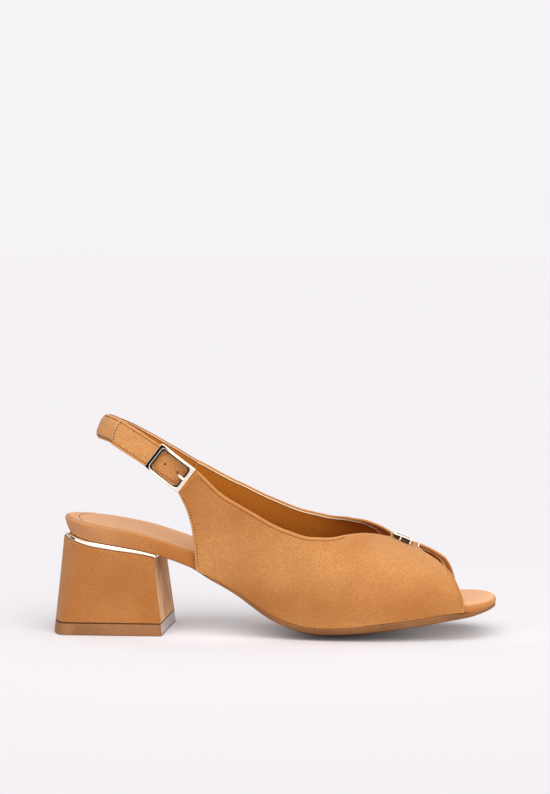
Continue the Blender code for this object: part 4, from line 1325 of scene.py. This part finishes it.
def makeBandStitches():
    half = bands["width"] / 2 - bands["stitchInset"]
    for key, slotName in (("sling", "upper"), ("strap", "buckle_strap")):
        middle, tangent, across, out = bandPath(key)
        depth = bands["groove"] + sewing["bandSink"]
        if key == "sling":
            depth = depth + slingCrown(middle, np.array([[half]]))
        for end, word in ((-half, "Low"), (half, "High")):
            line = middle + across * end - out * depth
            stitchRow(key + "Stitch" + word, line, out, slotName, sewing["band"])
    # the strap's rear end: a row of holes inside its rounded end
    a = np.linspace(-half, half, 60)
    back = strapEnd(a) - sewing["endInset"]
    line = middle[0] + across[0] * a[:, None] - tangent[0] * back[:, None] + out[0] * sewing["endLift"]
    stitchRow("strapEndStitch", line, np.repeat(out[:1], len(a), axis=0), "buckle_strap", sewing["petal"])
    # two punched holes, one of them under the prong
    x = buckle["centre"][0] + buckle["strapSlope"] * np.array(buckle["holes"])
    where = np.interp(x, middle[:, 0], np.arange(len(middle))).astype(int)
    places = [values[where] for values in (middle, tangent, across, out)]
    addPiece("strapHoles", *manyOf(*places, holeForm(buckle["holeRadius"])), [holeDark], "buckle_strap")


def makeSockStitches():
    # a sewn arc across the heel seat
    near, ahead, half = sewing["seatArc"]
    y = np.linspace(-half, half, 120)
    x = near + ahead * (y / half) ** 2
    arc = np.column_stack([x, y, boardTop(x) + sewing["seatLift"]])
    stitchRow("sockStitch", arc, np.repeat([[0.0, 0.0, 1.0]], len(arc), axis=0), "insole", sewing["sock"])


makePetalStitches()
makeBandStitches()
makeSockStitches()


# Floor, light and camera

stage = {
    "floor": (0.65, 0.635, 0.65), "floorReach": 12.0, "floorGlow": 0.07, "glowTint": (1.0, 0.97, 0.98),
    # X, Y, reach and strength of painted light, a glow added to the floor in spots; a negative one is painted
    # shadow under the ball
    "paintedGlowSpots": [
        (0.0, -0.03, 0.45, 0.045), (-0.030, -0.01, 0.060, 0.26), (0.034, -0.01, 0.052, -0.10),
        (0.108, -0.005, 0.050, 0.12),
    ],
    # painted light: the floor is tinted warm near the ball, where the suede would throw light back on it
    "paintedBleed": (0.64, 0.575, 0.545), "paintedBleedAt": (0.038, -0.014, 0.0), "paintedBleedReach": 0.058,
    "backdrop": (0.922, 0.896, 0.922), "roomTint": (1.0, 0.985, 1.0), "low": 0.38, "high": 0.85,
    "softSpan": (-0.1, 0.9), "shine": 1.35, "dark": 0.006, "darkEdge": (-0.23, -0.19), "darkTop": (0.4, 0.55),
    "darkLow": (0.22, 0.18), "darkFront": (0.10, 0.0),
    "key": {"energy": 1.9, "angle": 70.0, "from": (0.20, -0.70, 1.0)},
    "fill": {"energy": 1.0, "angle": 60.0, "from": (0.60, -0.90, 0.20)},
}
camera = {
    "azimuth": 5.5, "pitch": 3.8, "distance": 1.5, "target": (0.0002, 0.0, 0.12456), "sensor": 36.0,
    "focalPixels": 2830.0, "pictureHeight": 794.0,
}


def spotAt(tree, place, centre, reach, strength):
    # a soft round spot: its strength at the centre, eased to nothing at its reach
    away = addNode(tree, "VectorMath", {"operation": "DISTANCE"})
    for value, socket in zip((place, centre), away.inputs):
        feed(tree, value, socket)
    spot = addNode(tree, "MapRange", {"interpolation_type": "SMOOTHSTEP"}, Value=away.outputs["Value"],
                   From_Min=0.0, From_Max=reach, To_Min=strength, To_Max=0.0)
    return spot.outputs["Result"]


def makeFloor():
    mesh = bpy.data.meshes.new("floor")
    reach = stage["floorReach"]
    corners = [(-reach, -reach, 0), (reach, -reach, 0), (reach, reach, 0), (-reach, reach, 0)]
    mesh.from_pydata(corners, [], [(0, 1, 2, 3)])
    floor = bpy.data.objects.new("floor", mesh)
    bpy.context.scene.collection.objects.link(floor)
    material, tree, shader = newMaterial("floorPaper", stage["floor"], 0.9, Specular_IOR_Level=0.0,
                                         Emission_Color=(*stage["glowTint"], 1))
    place = addNode(tree, "TexCoord").outputs["Object"]
    glow = stage["floorGlow"]
    # painted light and shadow: the floor's glow is raised or lowered in spots
    for x, y, reach, strength in stage["paintedGlowSpots"]:
        glow = calculate(tree, "ADD", glow, spotAt(tree, place, (x, y, 0), reach, strength))
    feed(tree, remap(tree, glow, 0.0, 1.0), shader.inputs["Emission Strength"])
    paintedBleed = spotAt(tree, place, stage["paintedBleedAt"], stage["paintedBleedReach"], 1.0)
    feed(tree, mixColour(tree, paintedBleed, stage["floor"], stage["paintedBleed"]), shader.inputs["Base Color"])
    mesh.materials.append(material)


def makeLight():
    # soft light that grows with height; polished metal sees a white room with a dark corner on the left,
    # which reaches down to the floor only behind the shoe
    world = bpy.data.worlds.new("studio")
    world.use_nodes = True
    tree = world.node_tree
    parts = addNode(tree, "SeparateXYZ", Vector=addNode(tree, "TexCoord").outputs["Generated"]).outputs
    soft = remap(tree, parts["Z"], *stage["softSpan"], stage["low"], stage["high"])
    right, front = remap(tree, parts["X"], *stage["darkEdge"]), remap(tree, parts["Y"], *stage["darkFront"])
    above, below = (remap(tree, parts["Z"], *stage[key]) for key in ("darkTop", "darkLow"))
    lit = calculate(tree, "MAXIMUM", right, above)
    lit = calculate(tree, "MAXIMUM", lit, calculate(tree, "MINIMUM", below, front))
    shine = remap(tree, lit, 0.0, 1.0, stage["dark"], stage["shine"])
    rays = addNode(tree, "LightPath").outputs
    strength = addNode(tree, "Mix", {"data_type": "FLOAT"}, Factor=rays["Is Glossy Ray"], A=soft, B=shine)
    light = addNode(tree, "Background", Color=(*stage["roomTint"], 1), Strength=strength.outputs[0])
    seen = addNode(tree, "Background", Color=(*stage["backdrop"], 1))
    mix = addNode(tree, "MixShader", Fac=rays["Is Camera Ray"])
    for node, socket in zip((light, seen), mix.inputs[1:]):
        feed(tree, node.outputs[0], socket)
    feed(tree, mix.outputs[0], tree.nodes["World Output"].inputs["Surface"])
    bpy.context.scene.world = world

    for word in ("key", "fill"):
        sun = bpy.data.lights.new(word + "Light", "SUN")
        sun.energy = stage[word]["energy"]
        sun.angle = math.radians(stage[word]["angle"])
        lamp = bpy.data.objects.new(word + "Light", sun)
        lamp.rotation_euler = Vector(stage[word]["from"]).to_track_quat("Z", "Y").to_euler()
        bpy.context.scene.collection.objects.link(lamp)


def makeCamera():
    azimuth, pitch = math.radians(camera["azimuth"]), math.radians(camera["pitch"])
    level = math.cos(pitch)
    back = Vector((math.sin(azimuth) * level, -math.cos(azimuth) * level, math.sin(pitch)))
    lens = bpy.data.cameras.new("camera")
    lens.sensor_width = camera["sensor"]
    lens.lens = camera["sensor"] * camera["focalPixels"] / camera["pictureHeight"]
    eye = bpy.data.objects.new("camera", lens)
    eye.location = Vector(camera["target"]) + back * camera["distance"]
    eye.rotation_euler = (-back).to_track_quat("-Z", "Y").to_euler()
    bpy.context.scene.collection.objects.link(eye)
    bpy.context.scene.camera = eye


makeFloor()
makeLight()
makeCamera()
bpy.context.scene.view_settings.view_transform = "Standard"
print("stage, light and camera made")
